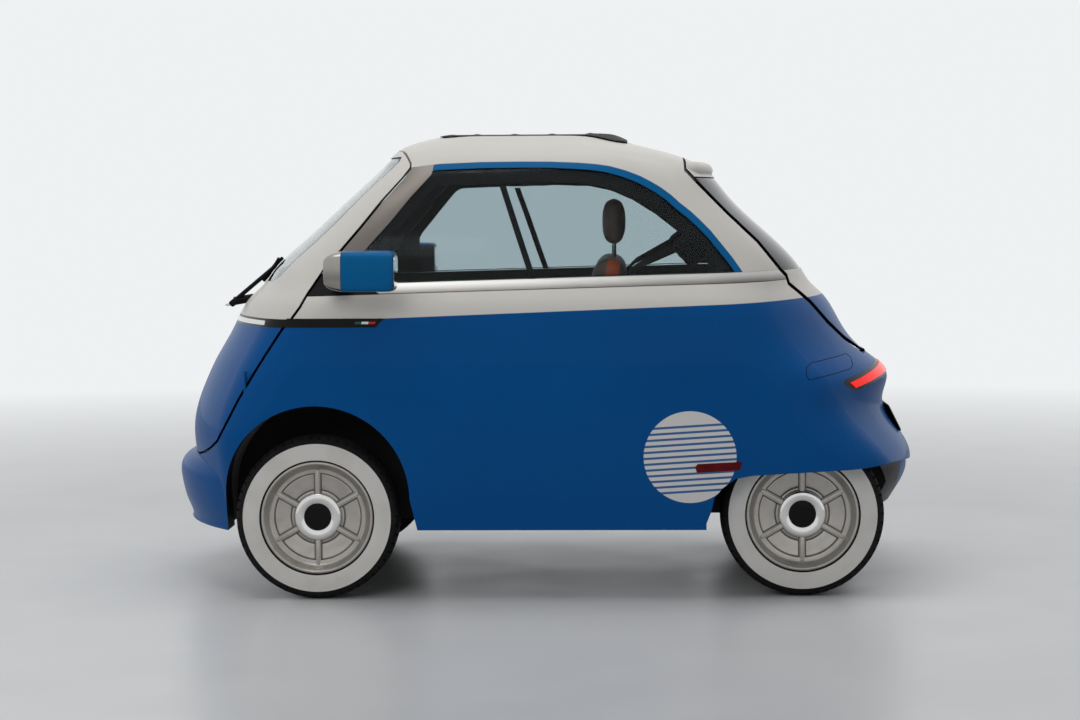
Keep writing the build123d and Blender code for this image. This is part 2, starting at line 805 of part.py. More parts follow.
# ---------------------------------------------------------------- wheels
WHEELS = [
    ("front", wheel_base_front_x, front_track_half),
    ("rear", wheel_base_rear_x, rear_track_half),
]
half_tyre = tyre_width / 2
flange_face = half_tyre - 8.0
flange_back = flange_face - rim_flange_depth
disc_front = flange_face - rim_disc_recess
disc_back = disc_front - rim_disc_thickness
barrel_inner = tyre_bead_radius - rim_wall
TYRE_SECTION = [
    (tyre_bead_radius, flange_back),
    (rim_flange_radius + seat_clearance, flange_back),
    (rim_flange_radius + seat_clearance, flange_face),
    (rim_flange_radius + 7.0, half_tyre - 2.0),
    (rim_flange_radius + 40.0, half_tyre),
    (tyre_radius - 17.0, half_tyre - 5.0),
    (tyre_radius - 5.0, half_tyre - 17.0),
    (tyre_radius, half_tyre - 34.0),
]
RIM_SECTION = [
    (spindle_radius + running_clearance, hub_back),
    (hub_radius, hub_back),
    (hub_radius, disc_back),
    (barrel_inner, disc_back),
    (barrel_inner, -flange_face),
    (rim_flange_radius, -flange_face),
    (rim_flange_radius, -flange_back),
    (tyre_bead_radius, -flange_back),
    (tyre_bead_radius, flange_back),
    (rim_flange_radius, flange_back),
    (rim_flange_radius, flange_face),
    (rim_flange_radius - 8.0, flange_face),
    (spoke_reach + 4.0, disc_front + 4.0),
    (spoke_reach - 2.0, disc_front),
    (spindle_radius + running_clearance, disc_front),
]


def turned(section, wheel_x, track_half):
    """Solid of revolution about a left wheel's axle, from (radius, outboard) points."""
    with BuildPart() as solid:
        with BuildSketch(Plane.XY.offset(tyre_radius)):
            with BuildLine():
                Polyline(*[(wheel_x + r, -track_half - out) for r, out in section], close=True)
            make_face()
        revolve(axis=Axis((wheel_x, 0, tyre_radius), (0, 1, 0)))
    return solid.part


for end, wheel_x, track_half in WHEELS:
    tyre = turned(
        TYRE_SECTION + [(r, -out) for r, out in reversed(TYRE_SECTION)], wheel_x, track_half
    )
    rim_blank = turned(RIM_SECTION, wheel_x, track_half)
    face_plane = Plane.XZ.offset(track_half + disc_front)
    with BuildPart() as rim:
        add(rim_blank)
        with BuildSketch(face_plane):
            with Locations((wheel_x, tyre_radius)):
                Circle(hub_ring_radius)
                Circle(hub_ring_inner_radius, mode=Mode.SUBTRACT)
        extrude(amount=hub_ring_height)
        with BuildSketch(face_plane):
            with Locations((wheel_x, tyre_radius)):
                with PolarLocations(
                    (hub_ring_radius + spoke_reach) / 2 - 4.0, spoke_count, start_angle=90.0
                ):
                    SlotOverall(spoke_reach - hub_ring_radius + 8.0, spoke_width)
        extrude(amount=spoke_height)
        with BuildSketch(face_plane):
            with Locations((wheel_x, tyre_radius)):
                Circle(cap_radius)
        extrude(amount=cap_height)
    write_pair(tyre, end + "_tyre")
    write_pair(rim.part, end + "_rim")

# ---------------------------------------------------------------- front suspension
kingpin_y = front_track_half - kingpin_inset
upright_low = tyre_radius - upright_height / 2
upright_high = tyre_radius + upright_height / 2
front_hub_face = front_track_half + hub_back
with BuildPart() as knuckle:
    add(block(wheel_base_front_x - upright_width / 2, wheel_base_front_x + upright_width / 2,
              -kingpin_y - upright_depth / 2, -kingpin_y + upright_depth / 2,
              upright_low, upright_high))
    with BuildSketch(Plane.XZ.offset(kingpin_y)):
        with Locations((wheel_base_front_x, tyre_radius)):
            Circle(spindle_radius)
    extrude(amount=front_track_half + disc_front - 2.0 - kingpin_y)
    with BuildSketch(Plane.XY.offset(upright_low - ball_gap - arm_thickness)):
        with Locations((wheel_base_front_x, -kingpin_y)):
            Circle(kingpin_radius)
    extrude(amount=upright_height + 2 * (ball_gap + arm_thickness))
write_pair(knuckle.part, "knuckle")


def arm(bottom_z, inner_y):
    """Control arm from its inner mount to the kingpin eye."""
    with BuildPart() as link:
        with BuildSketch(Plane.XY.offset(bottom_z)):
            with Locations((wheel_base_front_x, -(inner_y + kingpin_y) / 2)):
                Rectangle(arm_width, kingpin_y - inner_y)
            with Locations((wheel_base_front_x, -kingpin_y)):
                Circle(arm_width / 2)
                Circle(kingpin_radius + running_clearance, mode=Mode.SUBTRACT)
        extrude(amount=arm_thickness)
    return link.part


write_pair(arm(upright_high + ball_gap, front_liner_inner_y - liner_gap), "upper_arm")
lower_arm = arm(upright_low - ball_gap - arm_thickness, subframe_half)
with BuildPart() as subframe:
    add(block(wheel_base_front_x - subframe_width / 2, wheel_base_front_x + subframe_width / 2,
              -subframe_half, subframe_half, upright_low - ball_gap - arm_thickness,
              floor_bottom_z))
    add(lower_arm)
    add(mirrored(lower_arm))
write(subframe.part, "front_subframe")

# ---------------------------------------------------------------- rear axle, motor, battery
rear_spindle_end = rear_track_half + disc_front - 2.0
axle_end = rear_track_half + hub_back - 15.0
with BuildPart() as axle:
    with BuildSketch(Plane.XZ.offset(-axle_end)):
        with Locations((wheel_base_rear_x, tyre_radius)):
            Circle(axle_radius)
    extrude(amount=2 * axle_end)
    with BuildSketch(Plane.XZ.offset(-rear_spindle_end)):
        with Locations((wheel_base_rear_x, tyre_radius)):
            Circle(spindle_radius)
    extrude(amount=2 * rear_spindle_end)
    with BuildSketch(Plane.XZ.offset(-gear_case_half)):
        with Locations((wheel_base_rear_x, tyre_radius)):
            Circle(gear_case_radius)
    extrude(amount=2 * gear_case_half)
    for side in (-1, 1):
        add(block(bulkhead_x + sheet_thickness, wheel_base_rear_x,
                  side * trailing_arm_y - trailing_arm_width / 2,
                  side * trailing_arm_y + trailing_arm_width / 2,
                  floor_top_z, floor_top_z + trailing_arm_height))
write(axle.part, "rear_axle")
motor_rear_x = wheel_base_rear_x - gear_case_radius - 1.0
write(
    block(motor_rear_x - motor_length, motor_rear_x, -motor_width / 2, motor_width / 2,
          rear_floor_z - motor_height, rear_floor_z),
    "motor_block",
)
write(
    block(battery_front_x, bulkhead_x - 10.0, -battery_width / 2, battery_width / 2,
          floor_top_z, floor_top_z + battery_height),
    "battery_block",
)

# ---------------------------------------------------------------- seat
with BuildPart() as seat_base:
    add(block(seat_front_x, seat_base_rear_x, -seat_half_width + 20.0, seat_half_width - 20.0,
              floor_top_z, seat_base_top_z))
    add(block(seat_front_x + seat_wall, FAR, -seat_half_width + 20.0 + seat_wall,
              seat_half_width - 20.0 - seat_wall, 0.0, seat_base_top_z - seat_wall),
        mode=Mode.SUBTRACT)
write(seat_base.part, "seat_base")
with BuildPart() as cushion:
    add(block(seat_front_x - 12.0, backrest_foot_x - 4.0, -seat_half_width, seat_half_width,
              seat_base_top_z + seat_clearance,
              seat_base_top_z + seat_clearance + cushion_thickness))
    fillet(cushion.edges().group_by(Axis.Z)[-1], cushion_corner)
write(cushion.part, "seat_cushion")
lean = tan(radians(backrest_rake))
back_bottom = seat_base_top_z + seat_clearance
back_rise = backrest_top_z - back_bottom
BACKREST = [
    (backrest_foot_x, back_bottom),
    (backrest_foot_x + backrest_thickness, back_bottom),
    (backrest_foot_x + backrest_thickness + lean * back_rise, backrest_top_z),
    (backrest_foot_x + lean * back_rise, backrest_top_z),
]
with BuildPart() as backrest:
    add(side_prism(BACKREST, -seat_half_width, seat_half_width))
    fillet(backrest.edges().group_by(Axis.Z)[-1], cushion_corner)
write(backrest.part, "backrest")
headrest_x = backrest_foot_x + lean * back_rise + backrest_thickness / 2
for name, side in (("left", -1), ("right", 1)):
    head_bottom = backrest_top_z + post_gap
    with BuildPart() as headrest:
        add(block(headrest_x - headrest_thickness / 2, headrest_x + headrest_thickness / 2,
                  side * headrest_y - headrest_width / 2, side * headrest_y + headrest_width / 2,
                  head_bottom, head_bottom + headrest_height))
        fillet(headrest.edges(), headrest_corner)
        with BuildSketch(Plane.XY.offset(backrest_top_z + seat_clearance)):
            with Locations((headrest_x, side * headrest_y - post_spread / 2),
                           (headrest_x, side * headrest_y + post_spread / 2)):
                Circle(post_radius)
        extrude(amount=headrest_height / 2)
    write(headrest.part, "headrest_" + name)

# ---------------------------------------------------------------- steering
with BuildPart() as beam:
    with BuildSketch(Plane.XZ.offset(-FAR)):
        with Locations((beam_x, beam_z)):
            Circle(beam_radius)
    extrude(amount=2 * FAR)
    add(inner, mode=Mode.INTERSECT)
wheel_centre = Vector(*steering_centre)
shaft_dir = Vector(cos(radians(steering_rake)), 0, sin(radians(steering_rake)))
steer_plane = Plane(origin=wheel_centre, x_dir=(0, 1, 0), z_dir=shaft_dir)
with BuildPart() as steering_wheel:
    with BuildSketch(Plane(origin=wheel_centre, x_dir=shaft_dir, z_dir=(0, 1, 0))):
        with Locations((0, steering_wheel_radius)):
            Circle(steering_rim_radius)
    revolve(axis=Axis(wheel_centre, shaft_dir))
    with BuildSketch(steer_plane.offset(-steering_hub_depth)):
        Circle(steering_hub_radius)
    extrude(amount=steering_hub_depth)
    with BuildSketch(steer_plane.offset(-spoke_plate / 2 - 6.0)):
        with PolarLocations(steering_wheel_radius / 2, 3, start_angle=90.0):
            Rectangle(steering_wheel_radius, 30.0)
    extrude(amount=spoke_plate)
    with BuildSketch(steer_plane.offset(-steering_hub_depth - shaft_length)):
        Circle(shaft_radius)
    extrude(amount=shaft_length)
write(steering_wheel.part, "steering_wheel")
with BuildPart() as column:
    with BuildSketch(steer_plane.offset(-steering_hub_depth - 2.0)):
        Circle(column_radius)
    extrude(amount=-column_length)
    with BuildSketch(Plane.XZ.offset(-steering_centre[1] - column_radius)):
        with Locations((beam_x, beam_z)):
            Circle(beam_radius + 12.0)
    extrude(amount=2 * column_radius)
    with BuildSketch(steer_plane.offset(-steering_hub_depth - 2.0)):
        Circle(shaft_radius + running_clearance)
    extrude(amount=-shaft_length, mode=Mode.SUBTRACT)
    add(beam.part)
write(column.part, "steering_column")
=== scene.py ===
import math

import bmesh
import bpy
from mathutils import Matrix, Vector
from mathutils.bvhtree import BVHTree


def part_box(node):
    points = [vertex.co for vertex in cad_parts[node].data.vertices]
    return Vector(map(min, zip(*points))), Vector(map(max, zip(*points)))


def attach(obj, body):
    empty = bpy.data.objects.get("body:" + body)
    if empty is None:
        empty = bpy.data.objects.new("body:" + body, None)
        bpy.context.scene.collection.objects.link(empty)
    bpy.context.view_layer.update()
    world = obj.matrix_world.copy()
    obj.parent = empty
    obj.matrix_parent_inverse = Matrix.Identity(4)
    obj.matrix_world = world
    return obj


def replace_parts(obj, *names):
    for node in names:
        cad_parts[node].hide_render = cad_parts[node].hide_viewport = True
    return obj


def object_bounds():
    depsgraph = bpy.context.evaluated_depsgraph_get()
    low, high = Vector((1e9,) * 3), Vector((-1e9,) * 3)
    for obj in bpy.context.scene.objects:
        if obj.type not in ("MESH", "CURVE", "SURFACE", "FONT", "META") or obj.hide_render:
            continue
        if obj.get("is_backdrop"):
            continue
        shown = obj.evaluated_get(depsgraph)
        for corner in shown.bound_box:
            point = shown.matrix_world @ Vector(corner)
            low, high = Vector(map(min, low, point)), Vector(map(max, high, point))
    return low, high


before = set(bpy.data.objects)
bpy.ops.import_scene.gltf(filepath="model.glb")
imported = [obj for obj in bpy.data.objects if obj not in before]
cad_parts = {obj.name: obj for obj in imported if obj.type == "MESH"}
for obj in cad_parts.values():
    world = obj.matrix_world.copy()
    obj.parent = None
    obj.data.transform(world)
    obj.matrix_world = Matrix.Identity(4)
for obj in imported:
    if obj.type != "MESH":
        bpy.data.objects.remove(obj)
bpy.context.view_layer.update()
scene = bpy.context.scene
SIDES = (("left", -1), ("right", 1))

# ---------------------------------------------------------------- camera
CAMERA_PLACE = (0.295, -8.6312, 1.2718)
YAW, PITCH, ROLL = 0.0359, 0.0628, -0.0059
FOCAL_PIXELS, IMAGE_WIDTH, SENSOR_WIDTH = 2486.3, 1080.0, 36.0
forward = Vector((
    -math.sin(YAW) * math.cos(PITCH), math.cos(YAW) * math.cos(PITCH), -math.sin(PITCH)
))
level = Vector((math.cos(YAW), math.sin(YAW), 0.0))
rise = level.cross(forward)
right_hand = math.cos(ROLL) * level + math.sin(ROLL) * rise
upward = -math.sin(ROLL) * level + math.cos(ROLL) * rise
camera_data = bpy.data.cameras.new("camera")
camera_data.sensor_width = SENSOR_WIDTH
camera_data.lens = FOCAL_PIXELS / IMAGE_WIDTH * SENSOR_WIDTH
camera_data.clip_end = 200.0
camera = bpy.data.objects.new("camera", camera_data)
scene.collection.objects.link(camera)
turn = Matrix((right_hand, upward, -forward)).transposed().to_4x4()
camera.matrix_world = Matrix.Translation(CAMERA_PLACE) @ turn
scene.camera = camera

# ---------------------------------------------------------------- the car's main places, in metres
FRONT_WHEEL_X, REAR_WHEEL_X, WHEEL_Z = -0.713, 0.853, 0.265
FRONT_TRACK_HALF, REAR_TRACK_HALF = 0.6275, 0.5695
# Where rays start: clear of the car on each side, and in the cabin.
BESIDE_Y, AHEAD_X, BEHIND_X, ABOVE_Z, CABIN_X = 1.1, -1.5, 2.0, 2.0, -0.2


# ---------------------------------------------------------------- finishes
class Finish:
    """One procedural finish: a shader with its colour, gloss and relief nodes."""

    def __init__(self, name, **sockets):
        self.material = bpy.data.materials.new(name)
        self.material.use_nodes = True
        self.tree = self.material.node_tree
        self.shader = self.tree.nodes["Principled BSDF"]
        for socket, value in sockets.items():
            self.shader.inputs[socket.replace("_", " ")].default_value = value
        self.place = self.node("ShaderNodeTexCoord").outputs["Object"]
        self.normal = None

    def node(self, kind, **settings):
        made = self.tree.nodes.new(kind)
        for name, value in settings.items():
            setattr(made, name, value)
        return made

    def feed(self, socket, value):
        if isinstance(value, bpy.types.NodeSocket):
            self.tree.links.new(value, socket)
        else:
            socket.default_value = value
        return socket

    def stretched(self, stretch):
        mapping = self.node("ShaderNodeMapping")
        self.feed(mapping.inputs["Vector"], self.place)
        mapping.inputs["Scale"].default_value = stretch
        return mapping.outputs["Vector"]

    def noise(self, scale, detail=3.0, stretch=(1, 1, 1), rough=0.5, place=None):
        texture = self.node("ShaderNodeTexNoise")
        self.feed(texture.inputs["Vector"], place or self.stretched(stretch))
        texture.inputs["Scale"].default_value = scale
        texture.inputs["Detail"].default_value = detail
        texture.inputs["Roughness"].default_value = rough
        return texture.outputs["Fac"]

    def cells(self, scale):
        texture = self.node("ShaderNodeTexVoronoi", feature="SMOOTH_F1")
        self.feed(texture.inputs["Vector"], self.place)
        texture.inputs["Scale"].default_value = scale
        return texture.outputs["Distance"]

    def calc(self, operation, first, second=0.0):
        made = self.node("ShaderNodeMath", operation=operation)
        self.feed(made.inputs[0], first)
        self.feed(made.inputs[1], second)
        return made.outputs[0]

    def axis(self, letter):
        split = self.node("ShaderNodeSeparateXYZ")
        self.feed(split.inputs[0], self.place)
        return split.outputs[letter]

    def ranged(self, value, low, high, out_low=0.0, out_high=1.0):
        made = self.node("ShaderNodeMapRange")
        for socket, number in zip(made.inputs, (value, low, high, out_low, out_high)):
            self.feed(socket, number)
        return made.outputs[0]

    def between(self, value, low, high, soft):
        """1 between low and high, fading to 0 over soft."""
        rising = self.ranged(value, low - soft, low)
        falling = self.ranged(value, high, high + soft, 1.0, 0.0)
        return self.calc("MULTIPLY", rising, falling)

    def tint(self, share, first, second):
        made = self.node("ShaderNodeMix", data_type="RGBA")
        self.feed(made.inputs[0], share)
        self.feed(made.inputs[6], first)
        self.feed(made.inputs[7], second)
        return made.outputs[2]

    def colour(self, value):
        self.feed(self.shader.inputs["Base Color"], value)

    def gloss(self, value):
        self.feed(self.shader.inputs["Roughness"], value)

    def soft_edges(self, radius):
        bevel = self.node("ShaderNodeBevel", samples=4)
        bevel.inputs["Radius"].default_value = radius
        self.normal = bevel.outputs["Normal"]

    def relief(self, height, depth, strength=1.0):
        bump = self.node("ShaderNodeBump")
        bump.inputs["Strength"].default_value = strength
        bump.inputs["Distance"].default_value = depth
        self.feed(bump.inputs["Height"], height)
        if self.normal is not None:
            self.feed(bump.inputs["Normal"], self.normal)
        self.normal = bump.outputs["Normal"]

    def done(self):
        if self.normal is not None:
            self.feed(self.shader.inputs["Normal"], self.normal)
        return self.material


DEEP_BLUE, DEEP_BLUE_SHADE = (0.0005, 0.088, 0.315, 1), (0.0003, 0.074, 0.27, 1)
# A paler copy of the body blue: painted light on the window bands and pod shells, which carry the
# same paint as the body.
BLUE_WITH_PAINTED_LIGHT, BLUE_WITH_PAINTED_LIGHT_DRIFT = (0.0015, 0.128, 0.34, 1), (0.001, 0.110, 0.30, 1)
WARM_WHITE, WARM_WHITE_SHADE = (0.71, 0.69, 0.65, 1), (0.66, 0.64, 0.60, 1)
FLAKE_SILVER, LINING_GREY = (0.75, 0.8, 0.85, 1), (0.022, 0.022, 0.024, 1)
LACQUER_ROUGHNESS, GLASS_ROUGHNESS = (0.34, 0.43), (0.002, 0.006)
CABIN_MIDDLE = (0.0, 0.0, 0.75)
PAINT_LINE_SLOPE, PAINT_LINE_Z = 0.03598, 0.92618
BELT_SLOPE, BELT_FOOT_Z = 0.025496, 0.997297


def toned(colour, share, lift=0.0):
    """A colour made paler or darker."""
    return tuple(min(1.0, c * share + lift) for c in colour[:3]) + (1,)


def height_over(finish, slope, foot_z):
    """Height over a line that rises slowly towards the rear."""
    rising = finish.calc("MULTIPLY", finish.axis("X"), slope)
    return finish.calc("SUBTRACT", finish.axis("Z"), finish.calc("ADD", rising, foot_z))


def faces_outward(paint):
    """1 on faces that look away from the middle of the cabin, 0 on the lining."""
    away = paint.node("ShaderNodeVectorMath", operation="SUBTRACT")
    paint.feed(away.inputs[0], paint.place)
    away.inputs[1].default_value = CABIN_MIDDLE
    facing = paint.node("ShaderNodeVectorMath", operation="DOT_PRODUCT")
    paint.feed(facing.inputs[0], paint.node("ShaderNodeNewGeometry").outputs["True Normal"])
    paint.feed(facing.inputs[1], away.outputs[0])
    return paint.ranged(facing.outputs["Value"], -0.12, -0.10)


def lacquer(name, deep, shade, upper=None):
    """Body paint: colour drift, fine flake and orange peel under a clear coat.

    The upper colours, where given, start at the line where the blue body meets the white.
    """
    paint = Finish(name, Coat_Weight=0.22, Coat_Roughness=0.06, Coat_IOR=1.25,
                   Specular_IOR_Level=0.03)
    drift = paint.noise(2.2, 2.0)
    base = paint.tint(drift, shade, deep)
    if upper is not None:
        above = height_over(paint, PAINT_LINE_SLOPE, PAINT_LINE_Z)
        base = paint.tint(paint.ranged(above, -0.0004, 0.0004), base, paint.tint(drift, *upper))
    base = paint.tint(faces_outward(paint), LINING_GREY, base)
    flake = paint.ranged(paint.noise(2400.0, 1.0), 0.62, 0.8, 0.0, 0.06)
    paint.colour(paint.tint(flake, base, FLAKE_SILVER))
    paint.gloss(paint.ranged(paint.noise(700.0, 2.0), 0.2, 0.8, *LACQUER_ROUGHNESS))
    paint.soft_edges(0.0022)
    paint.relief(paint.noise(420.0, 2.0), 0.00003)
    return paint.done()


blue_lacquer = lacquer("blue_lacquer", DEEP_BLUE, DEEP_BLUE_SHADE)
# The paler blue is painted light: the body's own paint made brighter.
blue_with_painted_light = lacquer("blue_lacquer_with_painted_light", BLUE_WITH_PAINTED_LIGHT, BLUE_WITH_PAINTED_LIGHT_DRIFT)
white_lacquer = lacquer("warm_white_lacquer", WARM_WHITE, WARM_WHITE_SHADE)
two_tone_lacquer = lacquer(
    "two_tone_lacquer", DEEP_BLUE, DEEP_BLUE_SHADE, (WARM_WHITE_SHADE, WARM_WHITE)
)


def brushed(name, colour, stretch=(4, 300, 700), roughness=0.34):
    """Brushed metal with long fine scratches and slightly stained tone."""
    metal = Finish(name, Metallic=1.0, Anisotropic=0.45)
    grain = metal.noise(6.0, 4.0, stretch, 0.65)
    tone = metal.noise(9.0, 3.0)
    metal.colour(metal.tint(metal.calc("MULTIPLY", grain, tone), colour, toned(colour, 0.82)))
    metal.gloss(metal.ranged(grain, 0.3, 0.7, roughness - 0.08, roughness + 0.1))
    metal.relief(grain, 0.00006, 0.7)
    return metal.done()


def belt_silver_with_painted_light():
    """Brushed belt moulding with painted light: a painted highlight along its upper edge, painted
    shade on its lower part and a painted shadow line at its foot.
    """
    metal = Finish("brushed_trim_silver_painted_light", Metallic=1.0, Anisotropic=0.4)
    above = height_over(metal, BELT_SLOPE, BELT_FOOT_Z)
    grain = metal.noise(6.0, 4.0, (4, 300, 700), 0.65)
    # Painted shade: the lower part darker, with the upper edge paler as a painted highlight.
    tone = metal.tint(metal.ranged(above, 0.006, 0.026),
                      (0.15, 0.14, 0.13, 1), (0.50, 0.49, 0.47, 1))
    # Painted shadow: a near-black line at the foot, where the gap under the moulding lies in
    # shade.
    tone = metal.tint(metal.ranged(above, 0.0026, 0.0034), (0.008, 0.008, 0.008, 1), tone)
    metal.colour(metal.tint(metal.ranged(grain, 0.3, 0.7, 0.0, 0.25), tone,
                            (0.30, 0.29, 0.28, 1)))
    metal.gloss(metal.ranged(grain, 0.3, 0.7, 0.26, 0.38))
    metal.relief(grain, 0.00005, 0.6)
    return metal.done()


# The belt moulding's finish carries a painted highlight, painted shade and a painted shadow line.
trim_silver_painted_light = belt_silver_with_painted_light()
pillar_silver = brushed("brushed_pillar_silver", (0.185, 0.165, 0.150, 1), (300, 300, 6), 0.42)
ring_silver = brushed("pod_ring_silver", (0.36, 0.34, 0.31, 1), (500, 6, 6), 0.22)


def wheel_silver(name, centre_x):
    """Satin wheel silver, brushed in fine circles round its own hub."""
    metal = Finish(name, Metallic=0.85, Anisotropic=0.2)
    across = metal.calc("SUBTRACT", metal.axis("X"), centre_x)
    height = metal.calc("SUBTRACT", metal.axis("Z"), WHEEL_Z)
    radius = metal.calc(
        "SQRT",
        metal.calc("ADD", metal.calc("MULTIPLY", across, across),
                   metal.calc("MULTIPLY", height, height)),
    )
    ring_place = metal.node("ShaderNodeCombineXYZ")
    metal.feed(ring_place.inputs[0], radius)
    rings = metal.noise(1100.0, 2.0, place=ring_place.outputs[0])
    dust = metal.noise(26.0, 4.0)
    metal.colour(metal.tint(metal.ranged(dust, 0.45, 0.8, 0.0, 0.6),
                            (0.44, 0.415, 0.385, 1), (0.32, 0.295, 0.265, 1)))
    metal.gloss(metal.ranged(rings, 0.3, 0.7, 0.30, 0.42))
    metal.relief(rings, 0.00005, 0.6)
    metal.soft_edges(0.0012)
    return metal.done()


def plastic(name, colour, roughness, grain=900.0, depth=0.00012, coat=0.0):
    """Moulded plastic with a leather-like or fine spark-eroded grain."""
    moulded = Finish(name, Coat_Weight=coat, Coat_Roughness=0.05, Coat_IOR=1.3,
                     Specular_IOR_Level=0.08)
    cell = moulded.cells(grain)
    tone = moulded.noise(14.0, 4.0)
    moulded.colour(moulded.tint(moulded.ranged(tone, 0.3, 0.8, 0.0, 0.6), colour,
                                toned(colour, 1.7, 0.004)))
    moulded.gloss(moulded.ranged(tone, 0.2, 0.8, roughness - 0.06, roughness + 0.06))
    moulded.relief(cell, depth, 0.6)
    return moulded.done()


grained_black = plastic("grained_black_plastic", (0.007, 0.007, 0.0075, 1), 0.6)
gloss_black = plastic("gloss_black", (0.003, 0.003, 0.0035, 1), 0.3, 1500.0, 0.00001, 0.2)
frit_black = plastic("ceramic_border_black", (0.0025, 0.0025, 0.003, 1), 0.5, 1500.0, 0.000002)
seal_black = plastic("seal_rubber", (0.004, 0.004, 0.0045, 1), 0.66, 600.0, 0.00008)
satin_steel = plastic("satin_black_steel", (0.02, 0.02, 0.022, 1), 0.42, 1300.0, 0.00005)
liner_black = plastic("felt_liner_black", (0.009, 0.009, 0.010, 1), 0.85, 380.0, 0.0006)
plate_white = plastic("blank_plate_white", (0.62, 0.62, 0.61, 1), 0.3, 1100.0, 0.00004, 0.5)
light_white = plastic("light_bar_white", (0.83, 0.83, 0.84, 1), 0.22, 300.0, 0.0002, 0.8)
accent_green = plastic("accent_green", (0.006, 0.10, 0.055, 1), 0.3, 1400.0, 0.00002, 0.6)
accent_red = plastic("accent_red", (0.55, 0.008, 0.015, 1), 0.3, 1400.0, 0.00002, 0.6)


def cast_alloy():
    """Sand-cast aluminium of the motor and battery cases."""
    metal = Finish("cast_alloy", Metallic=0.9)
    pits = metal.noise(260.0, 5.0)
    metal.colour(metal.tint(pits, (0.24, 0.24, 0.245, 1), (0.40, 0.40, 0.40, 1)))
    metal.gloss(metal.ranged(pits, 0.3, 0.7, 0.42, 0.62))
    metal.relief(pits, 0.0006)
    return metal.done()


def tyre_rubber():
    """Tread and shoulder rubber with dust in its grain."""
    rubber = Finish("tyre_rubber", Specular_IOR_Level=0.1)
    grain = rubber.noise(520.0, 4.0)
    dust = rubber.noise(16.0, 5.0)
    rubber.colour(rubber.tint(rubber.ranged(dust, 0.5, 0.8, 0.0, 0.7),
                              (0.010, 0.010, 0.0105, 1), (0.030, 0.028, 0.026, 1)))
    rubber.gloss(rubber.ranged(dust, 0.3, 0.8, 0.62, 0.86))
    rubber.relief(grain, 0.0003)
    return rubber.done()


def white_wall():
    """White sidewall band, very slightly stained."""
    rubber = Finish("white_sidewall", Specular_IOR_Level=0.4)
    stain = rubber.noise(11.0, 5.0)
    rubber.colour(rubber.tint(rubber.ranged(stain, 0.45, 0.85, 0.0, 0.8),
                              (0.70, 0.685, 0.655, 1), (0.57, 0.55, 0.51, 1)))
    rubber.gloss(rubber.ranged(stain, 0.3, 0.7, 0.46, 0.6))
    rubber.relief(rubber.noise(380.0, 3.0), 0.00012)
    return rubber.done()


def glass(name, colour):
    """Clear or tinted glass with the faintest smear in its gloss."""
    pane = Finish(name, Base_Color=colour, Transmission_Weight=1.0, IOR=1.2)
    pane.gloss(pane.ranged(pane.noise(3.0, 2.0), 0.3, 0.8, *GLASS_ROUGHNESS))
    return pane.done()


side_pane = glass("side_window_glass", (0.58, 0.66, 0.68, 1))
front_pane = glass("windshield_glass", (0.74, 0.80, 0.81, 1))
rear_pane = glass("tinted_rear_glass", (0.016, 0.019, 0.021, 1))
lamp_glass = glass("clear_lamp_lens", (0.92, 0.94, 0.95, 1))


def red_lens(name, deep, glow):
    """Ribbed red lens over a lit or unlit reflector."""
    lens = Finish(name, Coat_Weight=0.2, Coat_Roughness=0.04, Coat_IOR=1.3,
                  Specular_IOR_Level=0.05)
    ribs = lens.node("ShaderNodeTexWave", bands_direction="Z")
    lens.feed(ribs.inputs["Vector"], lens.place)
    ribs.inputs["Scale"].default_value = 85.0
    glow_spots = lens.noise(22.0, 2.0)
    lens.colour(lens.tint(lens.ranged(glow_spots, 0.3, 0.7), deep, toned(deep, 1.8)))
    if glow:
        lens.feed(lens.shader.inputs["Emission Color"],
                  lens.tint(glow_spots, (0.8, 0.001, 0.002, 1), (1.0, 0.012, 0.010, 1)))
        lens.shader.inputs["Emission Strength"].default_value = glow
    lens.gloss(lens.ranged(glow_spots, 0.3, 0.7, 0.14, 0.22))
    lens.relief(ribs.outputs["Fac"], 0.0004, 0.5)
    return lens.done()


tail_red = red_lens("lit_tail_lens", (0.30, 0.001, 0.002, 1), 0.8)
reflector_red = red_lens("dark_red_reflector", (0.085, 0.003, 0.004, 1), 0.0)


def bright_metal(name, colour, roughness):
    """Polished or mirror-coated metal with faint swirls."""
    metal = Finish(name, Metallic=1.0)
    swirl = metal.noise(60.0, 4.0)
    metal.colour(metal.tint(swirl, colour, toned(colour, 0.9)))
    metal.gloss(metal.ranged(swirl, 0.3, 0.7, roughness, roughness + 0.04))
    metal.relief(metal.noise(180.0, 2.0), 0.00001)
    return metal.done()


mirror_face = bright_metal("mirror_face", (0.86, 0.87, 0.88, 1), 0.01)
lamp_bowl = bright_metal("lamp_bowl", (0.88, 0.88, 0.88, 1), 0.06)
post_metal = bright_metal("headrest_post_steel", (0.55, 0.55, 0.56, 1), 0.18)
hub_chrome = bright_metal("hub_ring_chrome", (0.74, 0.73, 0.71, 1), 0.14)
# Dark metal for the wide bars under the spokes: painted shade, a dark outline where shadow falls
# round each spoke.
spoke_painted_shade = bright_metal("spoke_foot_painted_shade", (0.15, 0.14, 0.13, 1), 0.36)


BACKREST_LEAN, BACKREST_BAND = 0.1763, (0.036, 0.078)


